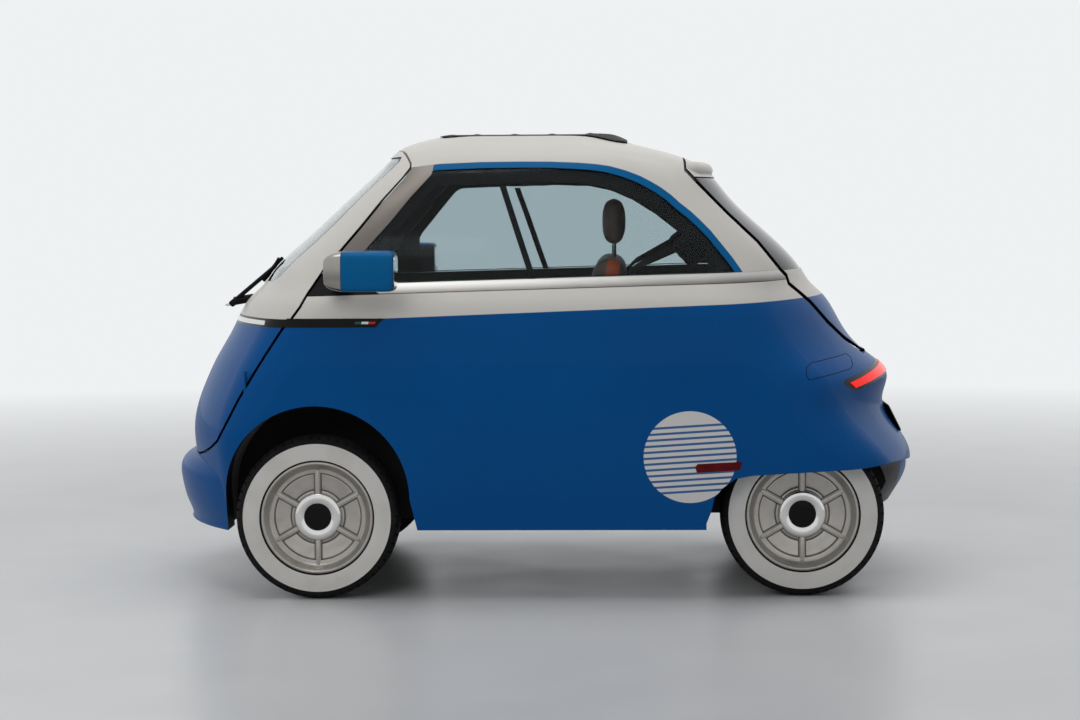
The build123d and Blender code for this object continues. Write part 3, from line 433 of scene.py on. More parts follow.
def leather(name, main, worn, accent=None):
    """Grained leather with pores, creases and paler wear, and an upright band of an accent."""
    hide = Finish(name, Specular_IOR_Level=0.4, Sheen_Weight=0.06)
    pores = hide.cells(330.0)
    crease = hide.noise(34.0, 5.0, (1, 0.6, 1), 0.6)
    wear = hide.ranged(hide.noise(8.0, 4.0), 0.4, 0.75, 0.0, 0.75)
    tone = hide.tint(wear, main, worn)
    if accent is not None:
        leaning = hide.calc("SUBTRACT", hide.axis("X"),
                            hide.calc("MULTIPLY", hide.axis("Z"), BACKREST_LEAN))
        band = hide.between(leaning, *BACKREST_BAND, 0.0008)
        tone = hide.tint(band, tone, accent)
    hide.colour(tone)
    hide.gloss(hide.ranged(crease, 0.3, 0.8, 0.42, 0.58))
    hide.relief(pores, 0.0005, 0.55)
    hide.relief(crease, 0.0012, 0.3)
    return hide.done()


BROWN, BROWN_WORN = (0.135, 0.072, 0.046, 1), (0.190, 0.108, 0.072, 1)
brown_leather = leather("brown_leather", BROWN, BROWN_WORN)
banded_leather = leather("banded_brown_leather", BROWN, BROWN_WORN, (0.62, 0.085, 0.018, 1))
grip_leather = leather("grip_leather", (0.014, 0.013, 0.013, 1), (0.028, 0.026, 0.025, 1))


def woven(name, colour, pitch, depth):
    """Plain weave of crossing threads."""
    cloth = Finish(name, Sheen_Weight=0.25, Sheen_Roughness=0.4, Specular_IOR_Level=0.3)
    threads = []
    for letter in "XY":
        phase = cloth.calc("MULTIPLY", cloth.axis(letter), 2 * math.pi / pitch)
        threads.append(cloth.calc("ABSOLUTE", cloth.calc("SINE", phase)))
    weave = cloth.calc("MULTIPLY", *threads)
    tone = cloth.noise(12.0, 5.0)
    share = cloth.calc("MULTIPLY", weave, cloth.ranged(tone, 0.3, 0.8, 0.3, 0.9))
    cloth.colour(cloth.tint(share, colour, toned(colour, 2.2, 0.004)))
    cloth.gloss(cloth.ranged(tone, 0.3, 0.7, 0.78, 0.92))
    cloth.relief(weave, depth, 0.7)
    return cloth.done()


roof_canvas = woven("roof_canvas", (0.012, 0.012, 0.014, 1), 0.0026, 0.0005)
belt_webbing = woven("belt_webbing", (0.010, 0.010, 0.011, 1), 0.0018, 0.0004)


def carpet():
    """Short dark floor carpet."""
    pile = Finish("floor_carpet", Sheen_Weight=0.3, Specular_IOR_Level=0.1)
    tuft = pile.noise(900.0, 3.0)
    tone = pile.noise(9.0, 4.0)
    pile.colour(pile.tint(pile.calc("MULTIPLY", tuft, tone), (0.012, 0.012, 0.013, 1),
                          (0.06, 0.06, 0.062, 1)))
    pile.gloss(pile.ranged(tone, 0.0, 1.0, 0.85, 1.0))
    pile.relief(tuft, 0.0016)
    return pile.done()


APRON_LEAN, APRON_EDGE = 0.14, 1.145


def valance_paint():
    """Lower rear apron: body blue across the tail, black flanks beside the wheels."""
    apron = Finish("two_tone_apron", Coat_Weight=0.15, Coat_IOR=1.25, Specular_IOR_Level=0.05)
    leaning = apron.calc("MULTIPLY", apron.axis("Z"), APRON_LEAN)
    edge = apron.calc("SUBTRACT", apron.axis("X"), leaning)
    tone = apron.noise(14.0, 4.0)
    blue = apron.tint(tone, DEEP_BLUE_SHADE, DEEP_BLUE)
    black = apron.tint(tone, (0.003, 0.003, 0.0035, 1), (0.009, 0.009, 0.010, 1))
    blue_share = apron.ranged(edge, APRON_EDGE - 0.0005, APRON_EDGE + 0.0005)
    apron.colour(apron.tint(blue_share, black, blue))
    apron.gloss(apron.ranged(tone, 0.3, 0.7, 0.36, 0.46))
    apron.relief(apron.noise(420.0, 2.0), 0.00004)
    return apron.done()


DISC_X, DISC_Z, DISC_RADIUS = 0.488, 0.462, 0.148
STRIPE_RISE, STRIPE_PITCH, STRIPES_LOW, STRIPES_HIGH = 0.062, 0.0191, -0.1148, 0.1032


def disc_marking():
    """Round side marking: white with a set of thin, slightly rising blue stripes."""
    mark = Finish("striped_disc", Coat_Weight=0.6, Coat_Roughness=0.06)
    rising = mark.calc("MULTIPLY", mark.calc("SUBTRACT", mark.axis("X"), DISC_X), STRIPE_RISE)
    height = mark.calc("SUBTRACT", mark.calc("SUBTRACT", mark.axis("Z"), DISC_Z), rising)
    turns = mark.calc("DIVIDE", mark.calc("ADD", height, 0.115), STRIPE_PITCH)
    part = mark.calc("FRACT", turns)
    stripe = mark.between(part, 0.04, 0.40, 0.03)
    window = mark.between(height, STRIPES_LOW, STRIPES_HIGH, 0.0002)
    tone = mark.tint(mark.noise(5.0, 3.0), (0.66, 0.65, 0.64, 1), (0.73, 0.72, 0.71, 1))
    mark.colour(mark.tint(mark.calc("MULTIPLY", stripe, window), tone, DEEP_BLUE))
    mark.gloss(mark.ranged(mark.noise(300.0, 2.0), 0.3, 0.7, 0.26, 0.34))
    mark.relief(mark.noise(420.0, 2.0), 0.00003)
    return mark.done()


# ---------------------------------------------------------------- CAD nodes' finishes
front_wheel_silver = wheel_silver("front_wheel_silver", FRONT_WHEEL_X)
rear_wheel_silver = wheel_silver("rear_wheel_silver", REAR_WHEEL_X)
alloy = cast_alloy()
apron_paint = valance_paint()
floor_carpet = carpet()
rubber_black = tyre_rubber()
rubber_white = white_wall()
NODE_FINISHES = {
    blue_lacquer: "door_panel front_bumper side_panel_left side_panel_right tail_panel",
    two_tone_lacquer: "tailgate_panel",
    blue_with_painted_light: "window_band_left window_band_right pod_shell_left pod_shell_right",
    white_lacquer: "door_frame upper_side_left upper_side_right roof_panel spoiler",
    trim_silver_painted_light: "belt_trim_left belt_trim_right",
    pillar_silver: "pillar_left pillar_right",
    ring_silver: "pod_ring_left pod_ring_right",
    front_wheel_silver: "front_rim_left front_rim_right",
    rear_wheel_silver: "rear_rim_left rear_rim_right",
    rubber_black: "front_tyre_left front_tyre_right rear_tyre_left rear_tyre_right",
    side_pane: "side_glass_left side_glass_right",
    front_pane: "windshield",
    rear_pane: "rear_glass",
    gloss_black: "front_strip tail_lamp_left tail_lamp_right tailgate_frame",
    grained_black: "mirror_foot_left mirror_foot_right steering_column",
    apron_paint: "rear_valance",
    satin_steel: "front_subframe knuckle_left knuckle_right upper_arm_left upper_arm_right "
    "rear_axle seat_base",
    alloy: "motor_block battery_block",
    liner_black: "rear_floor",
    floor_carpet: "floor_pan",
    plate_white: "rear_plate",
    roof_canvas: "canvas_roof",
    brown_leather: "seat_cushion headrest_left headrest_right",
    banded_leather: "backrest",
    grip_leather: "steering_wheel",
}
for finish, names in NODE_FINISHES.items():
    for name in names.split():
        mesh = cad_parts[name].data
        mesh.materials.clear()
        mesh.materials.append(finish)


# ---------------------------------------------------------------- making pieces
def finished(name, bm, body, *finishes, crease=35.0, slot=None):
    """A bmesh as a shown piece that moves with a CAD body."""
    bmesh.ops.recalc_face_normals(bm, faces=bm.faces[:])
    mesh = bpy.data.meshes.new(name)
    bm.to_mesh(mesh)
    bm.free()
    mesh.shade_smooth()
    mesh.set_sharp_from_angle(angle=math.radians(crease))
    for finish in finishes:
        mesh.materials.append(finish)
    piece = bpy.data.objects.new(name, mesh)
    scene.collection.objects.link(piece)
    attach(piece, body)
    return piece


def join(target, extra):
    """Adds one bmesh to another."""
    holder = bpy.data.meshes.new("holder")
    extra.to_mesh(holder)
    extra.free()
    target.from_mesh(holder)
    bpy.data.meshes.remove(holder)


def rounded_block(size, centre, radius, segments=3, turned=None):
    """Block with rounded edges, turned about its centre."""
    bm = bmesh.new()
    bmesh.ops.create_cube(bm, size=1.0)
    bmesh.ops.scale(bm, vec=size, verts=bm.verts)
    bmesh.ops.bevel(bm, geom=bm.edges[:], offset=radius, segments=segments, profile=0.5,
                    affect="EDGES", material=-1)
    if turned is not None:
        bmesh.ops.rotate(bm, cent=(0, 0, 0), matrix=turned, verts=bm.verts)
    bmesh.ops.translate(bm, vec=centre, verts=bm.verts)
    return bm


def spun(section, steps, closed=False):
    """Solid of revolution about the Y axis from (radius, y) points."""
    bm = bmesh.new()
    verts = [bm.verts.new((r, y, 0)) for r, y in section]
    pairs = list(zip(verts, verts[1:]))
    if closed:
        pairs.append((verts[-1], verts[0]))
    edges = [bm.edges.new(pair) for pair in pairs]
    bmesh.ops.spin(bm, geom=verts + edges, cent=(0, 0, 0), axis=(0, 1, 0),
                   angle=2 * math.pi, steps=steps, use_merge=True)
    bmesh.ops.remove_doubles(bm, verts=bm.verts[:], dist=1e-5)
    return bm


def tube(name, points, radius, body, finish, cyclic=False):
    """Round rod along a smooth path, with closed ends."""
    curve = bpy.data.curves.new(name, "CURVE")
    curve.dimensions = "3D"
    curve.bevel_depth = radius
    curve.bevel_resolution = 3
    curve.use_fill_caps = True
    spline = curve.splines.new("NURBS")
    spline.points.add(len(points) - 1)
    for point, co in zip(spline.points, points):
        point.co = (*co, 1.0)
    spline.use_cyclic_u = cyclic
    spline.order_u = 3
    spline.use_endpoint_u = not cyclic
    spline.resolution_u = 6
    holder = bpy.data.objects.new(name + "_path", curve)
    mesh = bpy.data.meshes.new_from_object(holder)
    bpy.data.objects.remove(holder)
    bm = bmesh.new()
    bm.from_mesh(mesh)
    bpy.data.meshes.remove(mesh)
    bmesh.ops.remove_doubles(bm, verts=bm.verts[:], dist=1e-6)
    return finished(name, bm, body, finish)


def ray_target(*names):
    """What rays meet: the surfaces of some CAD nodes."""
    points, faces = [], []
    for name in names:
        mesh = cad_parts[name].data
        start = len(points)
        points += [v.co.copy() for v in mesh.vertices]
        faces += [[start + i for i in p.vertices] for p in mesh.polygons]
    return BVHTree.FromPolygons(points, faces)


def sliced(bm, axis, step):
    """Cuts faces on a regular grid along one axis."""
    low = min(v.co[axis] for v in bm.verts)
    high = max(v.co[axis] for v in bm.verts)
    normal = Vector((0, 0, 0))
    normal[axis] = 1.0
    for number in range(1, math.ceil((high - low) / step)):
        point = normal * (low + number * step)
        bmesh.ops.bisect_plane(bm, geom=bm.verts[:] + bm.edges[:] + bm.faces[:],
                               plane_co=point, plane_no=normal)


EDGE_TRIES, EDGE_TRY_SHARE = 16, 0.002


def met(target, start, look, reach):
    """Where a ray meets a surface, or else the surface's nearest place to a point on the ray."""
    hit = target.ray_cast(start, look)[0]
    return hit if hit is not None else target.find_nearest(start + look * reach)[0]


def laid_on(target, loops, look, lift=0.0012, thick=0.0018, step=0.02):
    """Thin skin of some flat outline, laid along look on what rays meet; later loops are holes.

    A ray that misses at the outline's edge starts again a little nearer to its middle.
    """
    look = Vector(look)
    bm = bmesh.new()
    edges = []
    for loop in loops:
        verts = [bm.verts.new(point) for point in loop]
        edges += [bm.edges.new(pair) for pair in zip(verts, verts[1:] + verts[:1])]
    bmesh.ops.triangle_fill(bm, use_beauty=True, use_dissolve=False, edges=edges)
    for axis in range(3):
        if abs(look[axis]) < 0.5:
            sliced(bm, axis, step)
    bmesh.ops.triangulate(bm, faces=[f for f in bm.faces if len(f.verts) > 4])
    middle = sum((Vector(point) for point in loops[0]), Vector()) / len(loops[0])
    for vert in bm.verts:
        for attempt in range(EDGE_TRIES):
            start = vert.co.lerp(middle, EDGE_TRY_SHARE * attempt)
            hit = target.ray_cast(start, look)[0]
            if hit is not None:
                break
        else:
            hit = target.find_nearest(vert.co + look * 0.5)[0]
        vert.co = hit - look * lift
    shell = bmesh.ops.extrude_face_region(bm, geom=bm.faces[:], use_keep_orig=True)
    new = [g for g in shell["geom"] if isinstance(g, bmesh.types.BMVert)]
    bmesh.ops.translate(bm, vec=look * (thick + lift), verts=new)
    return bm


def side_points(outline, side):
    """Side-view (x, z) points in millimetres, beside the car or, at side 0, at its middle."""
    return [(x / 1000.0, side * BESIDE_Y, z / 1000.0) for x, z in outline]


def circle_points(x, z, radius, count):
    steps = (2 * math.pi * i / count for i in range(count))
    return [(x + radius * math.cos(a), z + radius * math.sin(a)) for a in steps]


# ---------------------------------------------------------------- tyres and wheel covers
# Half sections, as (radius, distance from the wheel's middle plane).
TYRE_OUTER = [
    (0.1712, 0.0580), (0.1816, 0.0590), (0.1825, 0.0655), (0.1842, 0.0694), (0.1862, 0.0703),
    (0.1960, 0.0716), (0.2120, 0.0724), (0.2280, 0.0722), (0.2395, 0.0712), (0.2412, 0.0716),
    (0.2426, 0.0704), (0.2480, 0.0682), (0.2530, 0.0650), (0.2575, 0.0600), (0.2602, 0.0555),
]
TYRE_CROWN = [
    (0.2622, 0.0500), (0.2634, 0.0400), (0.2636, 0.0372), (0.2576, 0.0358), (0.2576, 0.0322),
    (0.2640, 0.0308), (0.2646, 0.0152), (0.2586, 0.0138), (0.2586, 0.0102), (0.2648, 0.0088),
]
TYRE_STEPS = 216
SHOULDER_ROWS, SHOULDER_RADIUS, SHOULDER_EVERY = (0.0400, 0.0640), 0.2535, 4
MIDDLE_ROWS, MIDDLE_RADIUS, MIDDLE_EVERY = (0.0155, 0.0305), 0.2625, 6
SIPE_MARGIN, SIPE_DEPTH = 0.0010, 0.0045
WHITE_BAND = (0.1858, 0.2400)


def tyre(name, wheel_x, wheel_y, body, node):
    """Road tyre with grooved tread, sipes and a white band on the outer wall."""
    half = TYRE_OUTER + TYRE_CROWN
    section = half + [(r, -y) for r, y in reversed(half)]
    bm = spun(section, TYRE_STEPS, closed=True)
    outer = math.copysign(1.0, wheel_y)
    sipes = []
    for face in bm.faces:
        spot = face.calc_center_median()
        radius = math.hypot(spot.x, spot.z)
        turn_share = math.atan2(spot.z, spot.x) / (2 * math.pi) + 0.5
        column = int(round(turn_share * TYRE_STEPS - 0.5))
        row = abs(spot.y)
        shoulder = SHOULDER_ROWS[0] < row < SHOULDER_ROWS[1] and radius > SHOULDER_RADIUS
        middle = MIDDLE_ROWS[0] < row < MIDDLE_ROWS[1] and radius > MIDDLE_RADIUS
        if (shoulder and column % SHOULDER_EVERY == 0
                or middle and (column + 2) % MIDDLE_EVERY == 0):
            sipes.append(face)
        white = WHITE_BAND[0] < radius < WHITE_BAND[1] and spot.y * outer > 0
        face.material_index = int(white)
    bmesh.ops.inset_individual(bm, faces=sipes, thickness=SIPE_MARGIN, depth=-SIPE_DEPTH)
    bmesh.ops.translate(bm, vec=(wheel_x, wheel_y, WHEEL_Z), verts=bm.verts)
    made = finished(name, bm, body, rubber_black, rubber_white, crease=30.0, slot="tyre")
    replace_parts(made, node)


COVER_SECTION = [
    (0.0430, 0.0380), (0.0430, 0.0405), (0.0445, 0.0440), (0.0490, 0.0468), (0.0570, 0.0486),
    (0.0645, 0.0484), (0.0705, 0.0468), (0.0745, 0.0440), (0.0766, 0.0405), (0.0774, 0.0370),
    (0.0782, 0.0336), (0.0800, 0.0322), (0.0900, 0.0320), (0.1000, 0.0320), (0.1100, 0.0320),
    (0.1280, 0.0326), (0.1405, 0.0334), (0.1412, 0.0338), (0.1418, 0.0376), (0.1426, 0.0388),
    (0.1440, 0.0392), (0.1530, 0.0396), (0.1560, 0.0416), (0.1600, 0.0476), (0.1660, 0.0564),
    (0.1712, 0.0634), (0.1726, 0.0656), (0.1745, 0.0668), (0.1775, 0.0670), (0.1798, 0.0660),
    (0.1806, 0.0640), (0.1800, 0.0628), (0.1740, 0.0640), (0.1720, 0.0625), (0.1530, 0.0370),
    (0.1430, 0.0335), (0.0770, 0.0318), (0.0640, 0.0385),
]
COVER_STEPS, SPOKES, SPOKE_ROUNDING, SPOKE_TIP = 128, 6, 0.0022, 0.008
SILVER_INDEX, CHROME_INDEX, PAINTED_SHADE_INDEX = 0, 1, 2
SPOKE_BARS = (  # width, foot and crest from the middle plane, start and end, tip, finish
    # The wide low bar is painted shade round the spoke's foot; the narrow bar is the spoke itself.
    (0.025, 0.0300, 0.0368, 0.072, 0.1425, 1.0, PAINTED_SHADE_INDEX),
    (0.0135, 0.0300, 0.0432, 0.070, 0.1535, 0.72, SILVER_INDEX),
)
HUB_RING_RADIUS, HUB_RING_FOOT = 0.0776, 0.0372


def set_on_wheel(bm, wheel_x, wheel_y):
    """Puts a piece made for the right side on its wheel."""
    bmesh.ops.scale(bm, vec=(1, math.copysign(1.0, wheel_y), 1), verts=bm.verts)
    bmesh.ops.translate(bm, vec=(wheel_x, wheel_y, WHEEL_Z), verts=bm.verts)


def wheel_cover(name, wheel_x, wheel_y, body, finish):
    """Silver wheel cover: rolled lip, stepped ring, smooth floor, bright hub ring, six spokes with
    painted shade round their feet.
    """
    bm = spun(COVER_SECTION, COVER_STEPS, closed=True)
    for number in range(SPOKES):
        angle = 2 * math.pi * number / SPOKES + math.pi / 2
        turned = Matrix.Rotation(-angle, 3, "Y")
        for width, low, high, start, end, tip_share, index in SPOKE_BARS:
            bar = rounded_block((end - start, high - low, width),
                                ((start + end) / 2, (low + high) / 2, 0), SPOKE_ROUNDING)
            for vert in bar.verts:
                if vert.co.x > end - SPOKE_TIP:
                    vert.co.z *= tip_share
            bmesh.ops.rotate(bar, cent=(0, 0, 0), matrix=turned, verts=bar.verts)
            for face in bar.faces:
                face.material_index = index
            join(bm, bar)
    for face in bm.faces:
        spot = face.calc_center_median()
        if math.hypot(spot.x, spot.z) < HUB_RING_RADIUS and spot.y > HUB_RING_FOOT:
            face.material_index = CHROME_INDEX
    set_on_wheel(bm, wheel_x, wheel_y)
    finished(name, bm, body, finish, hub_chrome, spoke_painted_shade, crease=28.0, slot="rim_metal")


CAP_SECTION = [
    (0.0, 0.0412), (0.016, 0.0408), (0.030, 0.0400), (0.038, 0.0394), (0.0410, 0.0392),
    (0.0428, 0.0382), (0.0429, 0.0370), (0.0410, 0.0350), (0.0, 0.0350),
]


def wheel_cap(name, wheel_x, wheel_y, body):
    """Plain black centre cap."""
    bm = spun(CAP_SECTION, 64)
    set_on_wheel(bm, wheel_x, wheel_y)
    finished(name, bm, body, gloss_black)


for side_name, side in SIDES:
    for end, wheel_x, track_half, silver in (
        ("front", FRONT_WHEEL_X, FRONT_TRACK_HALF, front_wheel_silver),
        ("rear", REAR_WHEEL_X, REAR_TRACK_HALF, rear_wheel_silver),
    ):
        wheel_body, wheel_y = f"wheel_{end}_{side_name}", side * track_half
        tyre(f"{end}_road_tyre_{side_name}", wheel_x, wheel_y, wheel_body,
             f"{end}_tyre_{side_name}")
        wheel_cover(f"{end}_wheel_cover_{side_name}", wheel_x, wheel_y, wheel_body, silver)
        wheel_cap(f"{end}_wheel_cap_{side_name}", wheel_x, wheel_y, wheel_body)


# ---------------------------------------------------------------- lamp and mirror pods
POD_Y, POD_Z, POD_HALF_Y, POD_HALF_Z = 0.8235, 1.0625, 0.0815, 0.0645
POD_CORNER, POD_POINTS = 0.42, 48
# Stations, as (x, share of the half width, share of the half height).
BEZEL_STATIONS = [
    (-0.6595, 0.79, 0.64), (-0.654, 0.865, 0.74), (-0.646, 0.92, 0.825), (-0.636, 0.955, 0.89),
    (-0.624, 0.98, 0.94), (-0.612, 0.992, 0.975), (-0.6045, 0.996, 0.985),
    (-0.6045, 0.90, 0.88), (-0.628, 0.87, 0.83), (-0.652, 0.80, 0.66),
]
SHELL_STATIONS = [
    (-0.6035, 0.990, 0.980), (-0.602, 0.999, 0.992), (-0.58, 1.0, 1.0), (-0.53, 1.0, 1.0),
    (-0.475, 1.0, 0.997), (-0.455, 0.995, 0.985), (-0.446, 0.98, 0.955), (-0.4415, 0.95, 0.90),
    (-0.440, 0.90, 0.84),
]
LENS_STATIONS = [(-0.6615, 0.55, 0.36), (-0.661, 0.70, 0.54), (-0.6585, 0.775, 0.635),
                 (-0.653, 0.79, 0.65), (-0.651, 0.70, 0.55)]
BOWL_STATIONS = [(-0.649, 0.795, 0.655), (-0.640, 0.70, 0.56), (-0.628, 0.52, 0.42),
                 (-0.618, 0.20, 0.18)]
MIRROR_RIM_STATIONS = [(-0.4402, 0.86, 0.80), (-0.4390, 0.855, 0.79), (-0.4385, 0.84, 0.77)]
MIRROR_STATIONS = [(-0.4386, 0.82, 0.74), (-0.4378, 0.815, 0.735), (-0.4376, 0.80, 0.72)]
BULB_X, BULB_RADIUS = -0.630, 0.014


def pod_loop(bm, x, share_y, share_z, side):
    """One rounded cross section of a pod."""
    loop = []
    for i in range(POD_POINTS):
        a = 2 * math.pi * i / POD_POINTS
        c, s = math.cos(a), math.sin(a)
        y = math.copysign(abs(c) ** POD_CORNER, c) * POD_HALF_Y * share_y
        z = math.copysign(abs(s) ** POD_CORNER, s) * POD_HALF_Z * share_z
        loop.append(bm.verts.new((x, side * POD_Y + y, POD_Z + z)))
    return [bm.edges.new(pair) for pair in zip(loop, loop[1:] + loop[:1])]


def pod_skin(stations, side, round_again=False, caps=()):
    """Skin through rounded sections, with the ends in caps closed, or closed on itself."""
    bm = bmesh.new()
    rings = [pod_loop(bm, *station, side) for station in stations]
    following = rings[1:] + rings[:1] if round_again else rings[1:]
    for first, second in zip(rings, following):
        bmesh.ops.bridge_loops(bm, edges=first + second)
    for end in caps:
        bmesh.ops.contextual_create(bm, geom=rings[end])
    return bm


for side_name, side in SIDES:
    ring = finished(f"pod_bezel_{side_name}", pod_skin(BEZEL_STATIONS, side, round_again=True),
                    "body", ring_silver, slot="brushed_trim")
    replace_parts(ring, f"pod_ring_{side_name}")
    # The pod housing takes the paler blue, painted light on the body's own paint.
    shell = finished(f"pod_housing_{side_name}", pod_skin(SHELL_STATIONS, side, caps=(0, -1)),
                     "body", blue_with_painted_light, slot="pod_blue")
    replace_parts(shell, f"pod_shell_{side_name}")
    lens = pod_skin(LENS_STATIONS, side, caps=(0, -1))
    finished(f"lamp_lens_{side_name}", lens, "body", lamp_glass)
    bowl = pod_skin(BOWL_STATIONS, side, caps=(-1,))
    bmesh.ops.recalc_face_normals(bowl, faces=bowl.faces[:])
    bmesh.ops.solidify(bowl, geom=bowl.faces[:], thickness=0.0012)
    finished(f"lamp_bowl_{side_name}", bowl, "body", lamp_bowl)
    bulb = bmesh.new()
    bmesh.ops.create_uvsphere(bulb, u_segments=24, v_segments=16, radius=BULB_RADIUS)
    bmesh.ops.scale(bulb, vec=(0.7, 1.6, 1.0), verts=bulb.verts)
    bmesh.ops.translate(bulb, vec=(BULB_X, side * POD_Y, POD_Z), verts=bulb.verts)
    finished(f"lamp_light_{side_name}", bulb, "body", light_white)
    rim = pod_skin(MIRROR_RIM_STATIONS, side, caps=(0, -1))
    finished(f"mirror_rim_{side_name}", rim, "body", gloss_black)
    mirror = pod_skin(MIRROR_STATIONS, side, caps=(0, -1))
    finished(f"mirror_glass_{side_name}", mirror, "body", mirror_face)

# ---------------------------------------------------------------- side trim
side_skin = {
    name: ray_target(f"side_panel_{name}", f"upper_side_{name}", "tail_panel",
                     f"tail_lamp_{name}", "door_panel", "door_frame", "front_strip",
                     f"belt_trim_{name}", f"mirror_foot_{name}")
    for name, _ in SIDES
}
striped_disc = disc_marking()
# Side-view outlines, as (x, z) in millimetres.
STRIP = [(-820, 881), (-513, 881), (-492, 904), (-484, 909), (-801, 909)]
ACCENTS = ((accent_green, -580, -560), (light_white, -559, -537), (accent_red, -536, -515))
ACCENT_LOW, ACCENT_HIGH, ACCENT_SLANT = 891.5, 899, 2
DISC = circle_points(DISC_X * 1000, DISC_Z * 1000, DISC_RADIUS * 1000, 96)
REFLECTOR = [(510, 412), (645, 420), (654, 447), (512, 440), (504, 430)]
GLASS_HOLE = [
    (-482, 1034), (-482, 1148), (-470, 1168), (-352, 1308), (-338, 1322), (-318, 1331),
    (-186, 1336), (43, 1341), (153, 1336), (227, 1321), (311, 1284), (393, 1232), (478, 1165),
    (523, 1109), (546, 1082), (552, 1066), (547, 1056), (536, 1050), (0, 1036), (-466, 1024),
    (-478, 1027),
]
GLASS_OUTER = [
    (-638, 1018), (-633, 1027), (-560, 1122), (-478, 1216), (-412, 1298), (-352, 1372),
    (-346, 1379), (-319, 1383), (-188, 1388), (-60, 1389), (40, 1388), (130, 1384), (178, 1379),
    (223, 1372), (273, 1358), (320, 1340), (354, 1322), (385, 1304), (419, 1279), (450, 1251),
    (484, 1224), (515, 1195), (549, 1160), (580, 1121), (614, 1079), (630, 1056), (634, 1050),
    (0, 1033), (-400, 1023),
]
DIVIDER = [(-125, 1332), (-104, 1332), (-3, 1030), (-24, 1030)]
CHARGE_FLAP = [(868, 706), (1018, 728), (1030, 738), (1026, 760), (1012, 772), (880, 757),
               (862, 745), (858, 722)]
FLAP_STEP, FLAP_LINE_RADIUS, FLAP_LINE_LIFT = 7, 0.0011, 0.0002


def flap_line(skin, side):
    """Closed path of the charge flap's edge on the side of the car."""
    look = Vector((0, -side, 0))
    line = []
    for (x1, z1), (x2, z2) in zip(CHARGE_FLAP, CHARGE_FLAP[1:] + CHARGE_FLAP[:1]):
        pieces = max(2, round(math.hypot(x2 - x1, z2 - z1) / FLAP_STEP))
        for number in range(pieces):
            t = number / pieces
            spot = Vector(((x1 + (x2 - x1) * t) / 1000, side * BESIDE_Y,
                           (z1 + (z2 - z1) * t) / 1000))
            line.append(skin.ray_cast(spot, look)[0] - look * FLAP_LINE_LIFT)
    return line


for side_name, side in SIDES:
    look = (0, -side, 0)
    skin = side_skin[side_name]
    bm = laid_on(skin, [side_points(STRIP, side)], look, 0.0022)
    finished(f"side_strip_{side_name}", bm, "body", gloss_black)
    for number, (finish, x_low, x_high) in enumerate(ACCENTS):
        bar = [(x_low, ACCENT_LOW), (x_high, ACCENT_LOW),
               (x_high + ACCENT_SLANT, ACCENT_HIGH), (x_low + ACCENT_SLANT, ACCENT_HIGH)]
        bm = laid_on(skin, [side_points(bar, side)], look, 0.0032, 0.0008)
        finished(f"strip_accent_{number}_{side_name}", bm, "body", finish)
    bm = laid_on(skin, [side_points(DISC, side)], look, 0.0005, 0.0003, 0.03)
    finished(f"striped_disc_{side_name}", bm, "body", striped_disc)
    bm = laid_on(skin, [side_points(REFLECTOR, side)], look, 0.0030, 0.002)
    finished(f"side_reflector_{side_name}", bm, "body", reflector_red)
    pane = ray_target(f"side_glass_{side_name}")
    # The border and the divider lie on the inside of the pane, met from the car's middle.
    loops = [side_points(GLASS_OUTER, 0), side_points(GLASS_HOLE, 0)]
    bm = laid_on(pane, loops, (0, side, 0), 0.0018, -0.0012, 0.015)
    finished(f"glass_border_{side_name}", bm, "body", frit_black)
    bm = laid_on(pane, [side_points(DIVIDER, 0)], (0, side, 0), 0.009, -0.0085, 0.03)
    finished(f"window_divider_{side_name}", bm, "body", seal_black)
    if side_name == "left":
        tube("charge_flap_edge_left", flap_line(skin, side), FLAP_LINE_RADIUS, "body",
             seal_black, cyclic=True)


def front_points(outline):
    """Front-view (y, z) points in millimetres as points in the cabin, behind the windshield."""
    return [(CABIN_X, y / 1000.0, z / 1000.0) for y, z in outline]


CORNER_STEPS = 8


def rounded_outline(half_low, half_high, low, high, radius):
    """Trapezium with rounded corners as (y, z) points."""
    corners = [Vector(corner) for corner in
               ((-half_low, low), (half_low, low), (half_high, high), (-half_high, high))]
    points = []
    for number, corner in enumerate(corners):
        before, after = corners[number - 1], corners[(number + 1) % 4]
        start = corner + (before - corner).normalized() * radius
        end = corner + (after - corner).normalized() * radius
        for step in range(CORNER_STEPS + 1):
            t = step / CORNER_STEPS
            points.append(tuple(start * (1 - t) ** 2 + corner * 2 * t * (1 - t) + end * t * t))
    return points


SCREEN_HALF = [
    (400, 1019), (449.5, 1024), (486, 1039), (507, 1065.5), (513, 1100), (508, 1146),
    (439.2, 1391.5), (429.3, 1413.5), (409.7, 1427),
]
SCREEN_OUTLINE = SCREEN_HALF + [(-y, z) for y, z in reversed(SCREEN_HALF)]
SCREEN_HOLE = rounded_outline(478, 400, 1052, 1398, 60)
bm = laid_on(ray_target("windshield"), [front_points(SCREEN_OUTLINE), front_points(SCREEN_HOLE)],
             (-1, 0, 0), 0.0008, -0.0002, 0.03)
finished("windshield_border", bm, "door", frit_black)
door_target = ray_target("door_panel", "door_frame", "front_strip", "windshield")

# White light bar across the nose, in the black strip: rows of points met from all round.
BAR_ROWS_Z, BAR_STEPS, BAR_REACH_DEG = (0.8855, 0.8925, 0.8995), 48, 74
BAR_CENTRE_X, BAR_RING_RADIUS, BAR_LIFT, BAR_THICKNESS = -0.70, 1.2, 0.0020, 0.0028


def strip_between(bm, rows):
    """Skin between rows that have as many points each."""
    made = [[bm.verts.new(point) for point in row] for row in rows]
    for low_row, high_row in zip(made, made[1:]):
        for i in range(len(low_row) - 1):
            bm.faces.new((low_row[i], low_row[i + 1], high_row[i + 1], high_row[i]))


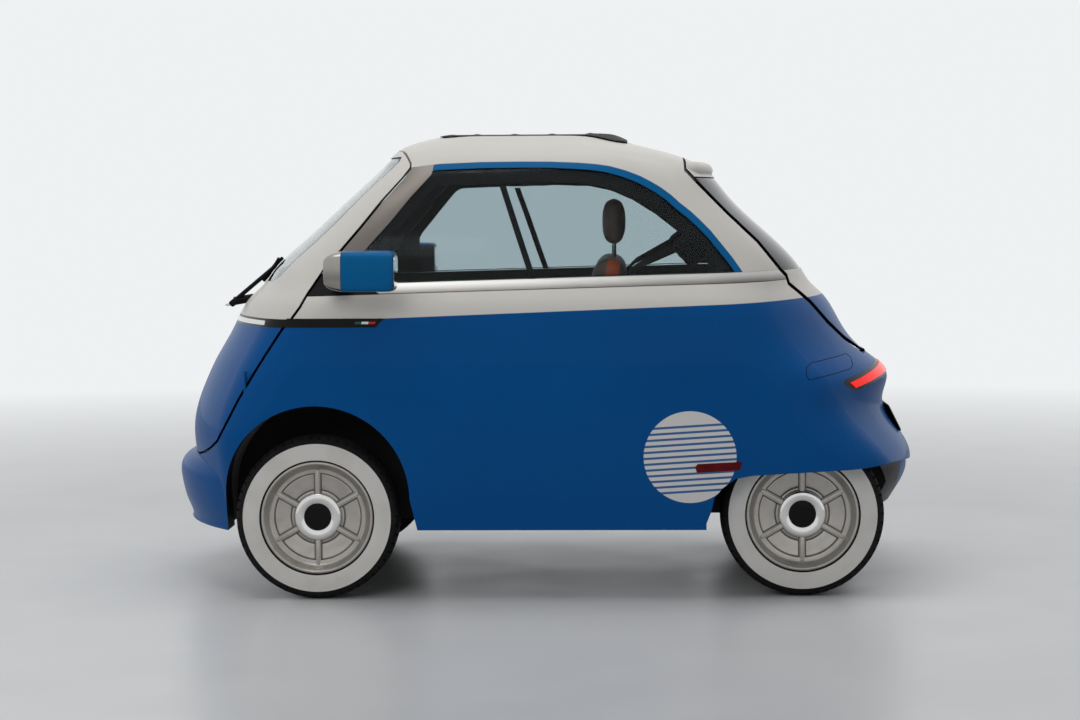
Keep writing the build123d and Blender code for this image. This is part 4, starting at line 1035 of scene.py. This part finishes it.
rows = []
for z in BAR_ROWS_Z:
    row = []
    for step in range(BAR_STEPS + 1):
        angle = math.radians(-BAR_REACH_DEG + 2 * BAR_REACH_DEG * step / BAR_STEPS)
        start = Vector((BAR_CENTRE_X - BAR_RING_RADIUS * math.cos(angle),
                        BAR_RING_RADIUS * math.sin(angle), z))
        inward = Vector((math.cos(angle), -math.sin(angle), 0))
        row.append(met(door_target, start, inward, 0.6) - inward * BAR_LIFT)
    rows.append(row)
bm = bmesh.new()
strip_between(bm, rows)
bmesh.ops.recalc_face_normals(bm, faces=bm.faces[:])
bmesh.ops.solidify(bm, geom=bm.faces[:], thickness=BAR_THICKNESS)
finished("nose_light_bar", bm, "door", light_white)

# ---------------------------------------------------------------- tailgate seal, rear plate
TAIL_SLOT = [  # side-view middle line of the slot, from the roof down, in millimetres
    (528, 1339), (576, 1290), (625, 1241), (673, 1195), (722, 1149), (760, 1102), (797, 1056),
    (817, 1036), (825, 1009), (853, 986), (895, 950), (918, 925), (960, 878), (1020, 822),
    (1040, 807.6), (1060, 793), (1078, 780), (1097, 766.6),
]
SLOT_HALF, SEAL_DEPTH, SEAL_RADIUS, SLOT_FOOT_Z = 0.004, 0.013, 0.0049, 0.762
tail_target = ray_target("tailgate_panel", "tail_panel", "side_panel_left", "side_panel_right",
                         "upper_side_left", "upper_side_right", "spoiler", "rear_glass",
                         "belt_trim_left", "belt_trim_right")


def slot_height(x):
    """Middle height of the slot over a length position."""
    for (x1, z1), (x2, z2) in zip(TAIL_SLOT, TAIL_SLOT[1:]):
        if x <= x2 / 1000 - SLOT_HALF:
            share = (x - x1 / 1000 + SLOT_HALF) / ((x2 - x1) / 1000)
            return (z1 + (z2 - z1) * share) / 1000 - SLOT_HALF
    return SLOT_FOOT_Z


def sunk(start, look):
    """Middle of the slot under the skin met from a starting point."""
    hit, normal = tail_target.ray_cast(start, look)[:2]
    if hit is None:
        return None
    level = Vector((normal.x, normal.y, 0)).normalized()
    spot = hit - level * SEAL_DEPTH
    return Vector((spot.x, spot.y, slot_height(spot.x)))


# Down the left side of the slot, then across its foot to the middle, then mirrored.
SEAL_STEP, FOOT_STEPS = 0.004, 12
half_loop = []
for x, z in TAIL_SLOT:
    spot = sunk(Vector((x / 1000 + 0.005, -BESIDE_Y, z / 1000 + 0.005)), Vector((0, 1, 0)))
    if spot is not None:
        half_loop.append(spot)
corner_y = half_loop[-1].y
for step in range(1, FOOT_STEPS + 1):
    y = corner_y * (1 - step / FOOT_STEPS)
    spot = sunk(Vector((BEHIND_X, y, SLOT_FOOT_Z - 0.008)), Vector((-1, 0, 0)))
    if spot is not None and spot.y > half_loop[-1].y + SEAL_STEP:
        half_loop.append(spot)
mirrored_half = [Vector((p.x, -p.y, p.z)) for p in reversed(half_loop) if p.y < -SEAL_STEP]
tube("tailgate_seal", half_loop + mirrored_half, SEAL_RADIUS, "body", seal_black)

PLATE_X, PLATE_Z, PLATE_LIFT = 1.1925, 0.5400, 0.0036
plate_lean = Matrix.Rotation(math.radians(-26.565), 3, "Y")
backing = rounded_block((0.006, 0.380, 0.100), (PLATE_X, 0, PLATE_Z), 0.0025, 3, plate_lean)
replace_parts(finished("rear_plate_backing", backing, "body", gloss_black), "rear_plate")
blank = rounded_block((0.002, 0.364, 0.086),
                      (PLATE_X + PLATE_LIFT * 0.894, 0, PLATE_Z + PLATE_LIFT * 0.447),
                      0.0008, 3, plate_lean)
finished("rear_plate_blank", blank, "body", plate_white)
mount = rounded_block((0.05, 0.30, 0.07), (1.163, 0, 0.529), 0.004, 2, plate_lean)
finished("rear_plate_mount", mount, "body", grained_black)

# ---------------------------------------------------------------- tail lenses
# Side-view outline of the lit part, as (x, z) in millimetres.
LENS = [(1010, 686), (1060, 700), (1140, 724), (1300, 733), (1300, 699), (1150, 697),
        (1095, 683), (1030, 668)]
LAMP_CENTRE_X, LENS_FACING = 0.55, 0.55
LENS_GAP_HALF, LENS_LIFT, LENS_THICKNESS = 0.004, 0.0006, 0.003


def from_lamp_centre(spot):
    """Level direction from the tail's centre of curvature to a place on the lamps."""
    return Vector((spot.x - LAMP_CENTRE_X, spot.y, 0)).normalized()


def inside_outline(x, z, outline):
    """True if a side-view point lies inside an outline."""
    inside = False
    for (x1, z1), (x2, z2) in zip(outline, outline[1:] + outline[:1]):
        if (z1 > z) != (z2 > z) and x < (x2 - x1) * (z - z1) / (z2 - z1) + x1:
            inside = not inside
    return inside


for side_name, side in SIDES:
    bm = bmesh.new()
    bm.from_mesh(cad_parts[f"tail_lamp_{side_name}"].data)
    bmesh.ops.remove_doubles(bm, verts=bm.verts[:], dist=1e-5)
    inner_faces = [
        face for face in bm.faces
        if face.normal.dot(from_lamp_centre(face.calc_center_median())) < LENS_FACING
    ]
    bmesh.ops.delete(bm, geom=inner_faces, context="FACES")
    for (x1, z1), (x2, z2) in zip(LENS, LENS[1:] + LENS[:1]):
        normal = Vector((z1 - z2, 0, x2 - x1)).normalized()
        bmesh.ops.bisect_plane(bm, geom=bm.verts[:] + bm.edges[:] + bm.faces[:],
                               plane_co=(x1 / 1000, 0, z1 / 1000), plane_no=normal)
    beyond = []
    for face in bm.faces:
        spot = face.calc_center_median()
        lit = inside_outline(spot.x * 1000, spot.z * 1000, LENS)
        if not lit or abs(spot.y) < LENS_GAP_HALF:
            beyond.append(face)
    bmesh.ops.delete(bm, geom=beyond, context="FACES")
    for vert in bm.verts:
        vert.co += from_lamp_centre(vert.co) * LENS_LIFT
    bmesh.ops.recalc_face_normals(bm, faces=bm.faces[:])
    bmesh.ops.solidify(bm, geom=bm.faces[:], thickness=-LENS_THICKNESS)
    finished(f"tail_lens_{side_name}", bm, "body", tail_red)

# ---------------------------------------------------------------- wiper
WIPER_FOOT, WIPER_TIP = Vector((-1.0640, -0.130, 0.9420)), Vector((-0.8870, -0.205, 1.0815))
BLADE_START, BLADE_LENGTH, BLADE_STEPS, BLADE_LIFT = 0.48, 0.56, 12, 0.0075
POST_Z, ARM_STEPS = 0.955, 8
off_the_pane = Vector((-0.62, 0, 0.78))


def nose_spot(y, z):
    """Place on the front of the door, met from ahead."""
    return door_target.ray_cast(Vector((AHEAD_X, y, z)), Vector((1, 0, 0)))[0]


blade = []
for step in range(BLADE_STEPS + 1):
    spot = WIPER_FOOT.lerp(WIPER_TIP, BLADE_START + BLADE_LENGTH * step / BLADE_STEPS)
    blade.append(nose_spot(spot.y, spot.z) + off_the_pane * BLADE_LIFT)
tube("wiper_blade", blade, 0.0060, "door", seal_black)
arm_line = [WIPER_FOOT.lerp(WIPER_TIP, share / ARM_STEPS) for share in range(ARM_STEPS)]
arm_line.append(blade[-2] + off_the_pane * 0.006)
tube("wiper_arm", arm_line, 0.0075, "door", gloss_black)
skin_spot = nose_spot(WIPER_FOOT.y, POST_Z)
tube("wiper_post", [skin_spot + Vector((0.012, 0, 0)), skin_spot.lerp(WIPER_FOOT, 0.5),
                    WIPER_FOOT + Vector((0.004, 0, 0.002))], 0.0150, "door", gloss_black)
hub = rounded_block((0.030, 0.030, 0.022), WIPER_FOOT + Vector((0.002, 0, -0.002)), 0.006, 3,
                    Matrix.Rotation(math.radians(-38), 3, "Y"))
finished("wiper_hub", hub, "door", gloss_black)
nozzle = rounded_block((0.018, 0.012, 0.009), WIPER_FOOT + Vector((-0.018, 0, -0.010)), 0.003)
finished("washer_nozzle", nozzle, "door", light_white)

# ---------------------------------------------------------------- canvas roof
roof_target = ray_target("canvas_roof")
CANVAS_FRONT, CANVAS_REAR, CANVAS_HALF, CANVAS_CORNER = -0.3345, 0.2915, 0.3495, 0.060
CANVAS_LIFT, CANVAS_TUCK, CANVAS_FREE_FROM = 0.0035, 0.004, 0.05
PLEATS, PLEAT_VALLEY, PLEAT_CREST = 5, 0.0020, 0.0008
canvas_length, canvas_middle = CANVAS_REAR - CANVAS_FRONT, (CANVAS_FRONT + CANVAS_REAR) / 2
bm = bmesh.new()
bmesh.ops.create_grid(bm, x_segments=120, y_segments=70, size=0.5)
for vert in bm.verts:
    across, along = vert.co.y * 2, vert.co.x + 0.5
    x = CANVAS_FRONT + along * canvas_length
    y = across * CANVAS_HALF
    # The corners are drawn in to a round.
    over_x = max(abs(x - canvas_middle) - (canvas_length / 2 - CANVAS_CORNER), 0.0)
    over_y = max(abs(y) - (CANVAS_HALF - CANVAS_CORNER), 0.0)
    reach = math.hypot(over_x, over_y)
    if reach > CANVAS_CORNER:
        share = CANVAS_CORNER / reach
        x -= math.copysign(over_x * (1 - share), x - canvas_middle)
        y -= math.copysign(over_y * (1 - share), y)
    hit = met(roof_target, Vector((x, y, ABOVE_Z)), Vector((0, 0, -1)), 0.51)
    # The cloth is free of its frame towards its middle, with shallow pleats across the car.
    edge = min(along, 1 - along, (1 - abs(across)) * 0.55) * canvas_length
    free = min(1.0, edge / CANVAS_FREE_FROM)
    fold = max(0.0, math.cos(along * PLEATS * 2 * math.pi))
    pleat = free * (PLEAT_CREST * fold ** 12 - PLEAT_VALLEY * (1 - fold ** 6))
    vert.co = (x, y, hit.z + CANVAS_LIFT * free + pleat - CANVAS_TUCK * (1 - free))
bmesh.ops.remove_doubles(bm, verts=bm.verts[:], dist=1e-5)
bmesh.ops.recalc_face_normals(bm, faces=bm.faces[:])
if sum(face.normal.z for face in bm.faces) < 0:
    bmesh.ops.reverse_faces(bm, faces=bm.faces[:])
bmesh.ops.solidify(bm, geom=bm.faces[:], thickness=0.002)
canvas = finished("canvas_top", bm, "body", roof_canvas, slot="canvas")
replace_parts(canvas, "canvas_roof")


# ---------------------------------------------------------------- seat
SWELL_FRAMES, SWELL_PRESSURE, CLOTH_STIFFNESS = 20, 4.0, 12.0


def inflated(piece, voxel, cap, floor_z):
    """Swells a closed shape as padding does, by a short pressure simulation.

    No point moves further than cap, or ends under floor_z where one is given.
    """
    remesh = piece.modifiers.new("remesh", "REMESH")
    remesh.mode = "VOXEL"
    remesh.voxel_size = voxel
    remesh.use_smooth_shade = True
    graph = bpy.context.evaluated_depsgraph_get()
    mesh = bpy.data.meshes.new_from_object(piece.evaluated_get(graph))
    piece.modifiers.clear()
    materials = list(piece.data.materials)
    piece.data = mesh
    mesh.materials.clear()
    for material in materials:
        mesh.materials.append(material)
    rest = [v.co.copy() for v in mesh.vertices]
    cloth = piece.modifiers.new("cloth", "CLOTH")
    cloth.settings.use_pressure = True
    cloth.settings.uniform_pressure_force = SWELL_PRESSURE
    cloth.settings.effector_weights.gravity = 0.0
    cloth.settings.quality = 4
    cloth.settings.tension_stiffness = CLOTH_STIFFNESS
    cloth.settings.compression_stiffness = CLOTH_STIFFNESS
    cloth.settings.bending_stiffness = 1.0
    for number in range(1, SWELL_FRAMES + 1):
        scene.frame_set(number)
    graph = bpy.context.evaluated_depsgraph_get()
    swollen = bpy.data.meshes.new_from_object(piece.evaluated_get(graph))
    piece.modifiers.clear()
    scene.frame_set(1)
    for vert, start in zip(swollen.vertices, rest):
        move = vert.co - start
        if move.length > cap:
            move = move * (cap / move.length)
        vert.co = start + move
        if floor_z is not None:
            vert.co.z = max(vert.co.z, floor_z)
    piece.data = swollen
    swollen.shade_smooth()


def pad(name, bm, finish, node, voxel, cap, floor_z=None):
    """A padded seat part in place of its CAD node."""
    piece = finished(name, bm, "body", finish, slot="leather")
    inflated(piece, voxel, cap, floor_z)
    smooth = piece.modifiers.new("subdivision", "SUBSURF")
    smooth.levels = smooth.render_levels = 1
    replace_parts(piece, node)


CUSHION_MARGIN, CUSHION_THICKNESS, CUSHION_MIDDLE = 0.022, 0.108, 0.058
cushion_low, cushion_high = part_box("seat_cushion")
cushion_size = cushion_high - cushion_low
pad("seat_cushion_pad",
    rounded_block((cushion_size.x - CUSHION_MARGIN, cushion_size.y - CUSHION_MARGIN,
                   CUSHION_THICKNESS),
                  ((cushion_low.x + cushion_high.x) / 2, 0, cushion_low.z + CUSHION_MIDDLE),
                  0.030, 4),
    brown_leather, "seat_cushion", 0.009, 0.010, cushion_low.z + 0.001)
pad("backrest_pad",
    rounded_block((0.098, 0.976, 0.668), (0.184, 0.0, 0.768), 0.040, 4,
                  Matrix.Rotation(math.radians(10), 3, "Y")),
    banded_leather, "backrest", 0.010, 0.010)
POST_SECTION = [(0.0, -0.045), (0.0055, -0.045), (0.006, -0.044), (0.006, 0.035), (0.0, 0.035)]
POST_SHIFT, POST_MIDDLE_Z = 0.06, 1.112
for side_name, side in SIDES:
    low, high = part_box(f"headrest_{side_name}")
    middle = (low + high) / 2
    head = rounded_block((0.066, 0.212, 0.150), (middle.x, middle.y, high.z - 0.083), 0.031, 4)
    pad(f"headrest_pad_{side_name}", head, brown_leather, f"headrest_{side_name}",
        0.006, 0.008)
    for number, shift in enumerate((-POST_SHIFT, POST_SHIFT)):
        post = spun(POST_SECTION, 20)
        bmesh.ops.rotate(post, cent=(0, 0, 0), matrix=Matrix.Rotation(math.radians(90), 3, "X"),
                         verts=post.verts)
        bmesh.ops.translate(post, vec=(middle.x, middle.y + shift, POST_MIDDLE_Z),
                            verts=post.verts)
        finished(f"headrest_post_{number}_{side_name}", post, "body", post_metal)

# ---------------------------------------------------------------- belts and cabin fittings
BELT_LINE = [(0.480, 0.498, 1.142), (0.395, 0.47, 1.100), (0.318, 0.43, 1.062),
             (0.262, 0.40, 1.010), (0.250, 0.395, 0.900)]
BELT_HALF_WIDTH, BELT_THICKNESS = 0.022, 0.0016
for side_name, side in SIDES:
    reel = rounded_block((0.105, 0.060, 0.105), (0.505, side * 0.505, 1.128), 0.028, 5,
                         Matrix.Rotation(math.radians(-38), 3, "Y"))
    finished(f"belt_reel_cover_{side_name}", reel, "body", grained_black)
    rows = []
    for number, (x, y, z) in enumerate(BELT_LINE):
        # The strap leaves the reel on edge and turns flat against the backrest.
        t = number / (len(BELT_LINE) - 1)
        wide = (Vector((0.25, 0, 1)).normalized() * BELT_HALF_WIDTH * (1 - t)
                + Vector((0, 1, 0)) * BELT_HALF_WIDTH * t)
        point = Vector((x, side * y, z))
        rows.append((point - wide, point + wide))
    bm = bmesh.new()
    strip_between(bm, rows)
    bmesh.ops.solidify(bm, geom=bm.faces[:], thickness=BELT_THICKNESS)
    finished(f"seat_belt_{side_name}", bm, "body", belt_webbing, crease=60)

screen = rounded_block((0.014, 0.150, 0.082), (-0.560, -0.215, 0.925), 0.006, 3,
                       Matrix.Rotation(math.radians(-20), 3, "Y"))
finished("instrument_screen", screen, "body", gloss_black)

# ---------------------------------------------------------------- floor, light and background
PAPER_WHITE, WORLD_STRENGTH = (0.86, 0.88, 0.89, 1), 0.27
FADE_START, FADE_END = 2.6, 9.0
bm = bmesh.new()
bmesh.ops.create_circle(bm, cap_ends=True, radius=40.0, segments=96)
floor_mesh = bpy.data.meshes.new("studio_floor")
bm.to_mesh(floor_mesh)
bm.free()
floor = bpy.data.objects.new("studio_floor", floor_mesh)
scene.collection.objects.link(floor)
floor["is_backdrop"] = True
paper = Finish("studio_floor_grey", Specular_IOR_Level=0.35)
paper.colour((0.66, 0.67, 0.68, 1))
paper.gloss(paper.ranged(paper.noise(3.0, 3.0), 0.3, 0.7, 0.30, 0.36))
paper.done()
split = paper.node("ShaderNodeSeparateXYZ")
paper.feed(split.inputs[0], paper.place)
squares = [paper.calc("MULTIPLY", split.outputs[i], split.outputs[i]) for i in (0, 1)]
distance = paper.calc("SQRT", paper.calc("ADD", *squares))
fade = paper.ranged(distance, FADE_START, FADE_END)
floor_ray = paper.node("ShaderNodeLightPath")
shown = paper.calc("MULTIPLY", fade, floor_ray.outputs["Is Camera Ray"])
glow = paper.node("ShaderNodeEmission")
glow.inputs["Color"].default_value = PAPER_WHITE
mixer = paper.node("ShaderNodeMixShader")
paper.feed(mixer.inputs[0], shown)
paper.feed(mixer.inputs[1], paper.shader.outputs[0])
paper.feed(mixer.inputs[2], glow.outputs[0])
paper.feed(paper.tree.nodes["Material Output"].inputs["Surface"], mixer.outputs[0])
floor_mesh.materials.append(paper.material)

world = bpy.data.worlds.new("studio")
scene.world = world
world.use_nodes = True
sky = world.node_tree.nodes
links = world.node_tree.links
background = sky["Background"]
background.inputs["Color"].default_value = (1, 1, 1, 1)
background.inputs["Strength"].default_value = WORLD_STRENGTH
seen = sky.new("ShaderNodeBackground")
seen.inputs["Color"].default_value = PAPER_WHITE
ray = sky.new("ShaderNodeLightPath")
# The pale paper is what the camera, gloss and glass see; only the rest of the world is light.
sees_paper = ray.outputs["Is Camera Ray"]
for kind in ("Is Glossy Ray", "Is Transmission Ray"):
    either = sky.new("ShaderNodeMath")
    either.operation = "MAXIMUM"
    links.new(sees_paper, either.inputs[0])
    links.new(ray.outputs[kind], either.inputs[1])
    sees_paper = either.outputs[0]
mix = sky.new("ShaderNodeMixShader")
links.new(sees_paper, mix.inputs[0])
links.new(background.outputs[0], mix.inputs[1])
links.new(seen.outputs[0], mix.inputs[2])
links.new(mix.outputs[0], sky["World Output"].inputs["Surface"])


def lamp(name, place, aim, size, power, mirrored=True):
    """Soft rectangular studio light, seen in reflections or not."""
    data = bpy.data.lights.new(name, "AREA")
    data.shape = "RECTANGLE"
    data.size, data.size_y = size
    data.energy = power
    obj = bpy.data.objects.new(name, data)
    obj.location = place
    obj.rotation_euler = (Vector(aim) - Vector(place)).to_track_quat("-Z", "Y").to_euler()
    obj.visible_glossy = mirrored
    scene.collection.objects.link(obj)


lamp("overhead_softbox", (0.2, -0.4, 4.6), (0, 0, 0.6), (5.0, 2.6), 84.0)
lamp("near_side_softbox", (-2.2, -5.6, 2.9), (0, 0, 0.7), (3.4, 2.2), 62.0, False)
lamp("front_softbox", (-5.6, 1.2, 2.6), (-0.4, 0, 0.8), (2.6, 2.2), 36.0, False)
lamp("rear_softbox", (5.4, 2.6, 2.8), (0.3, 0, 0.8), (2.6, 2.2), 20.0, False)

scene.view_settings.view_transform = "Standard"
low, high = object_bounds()
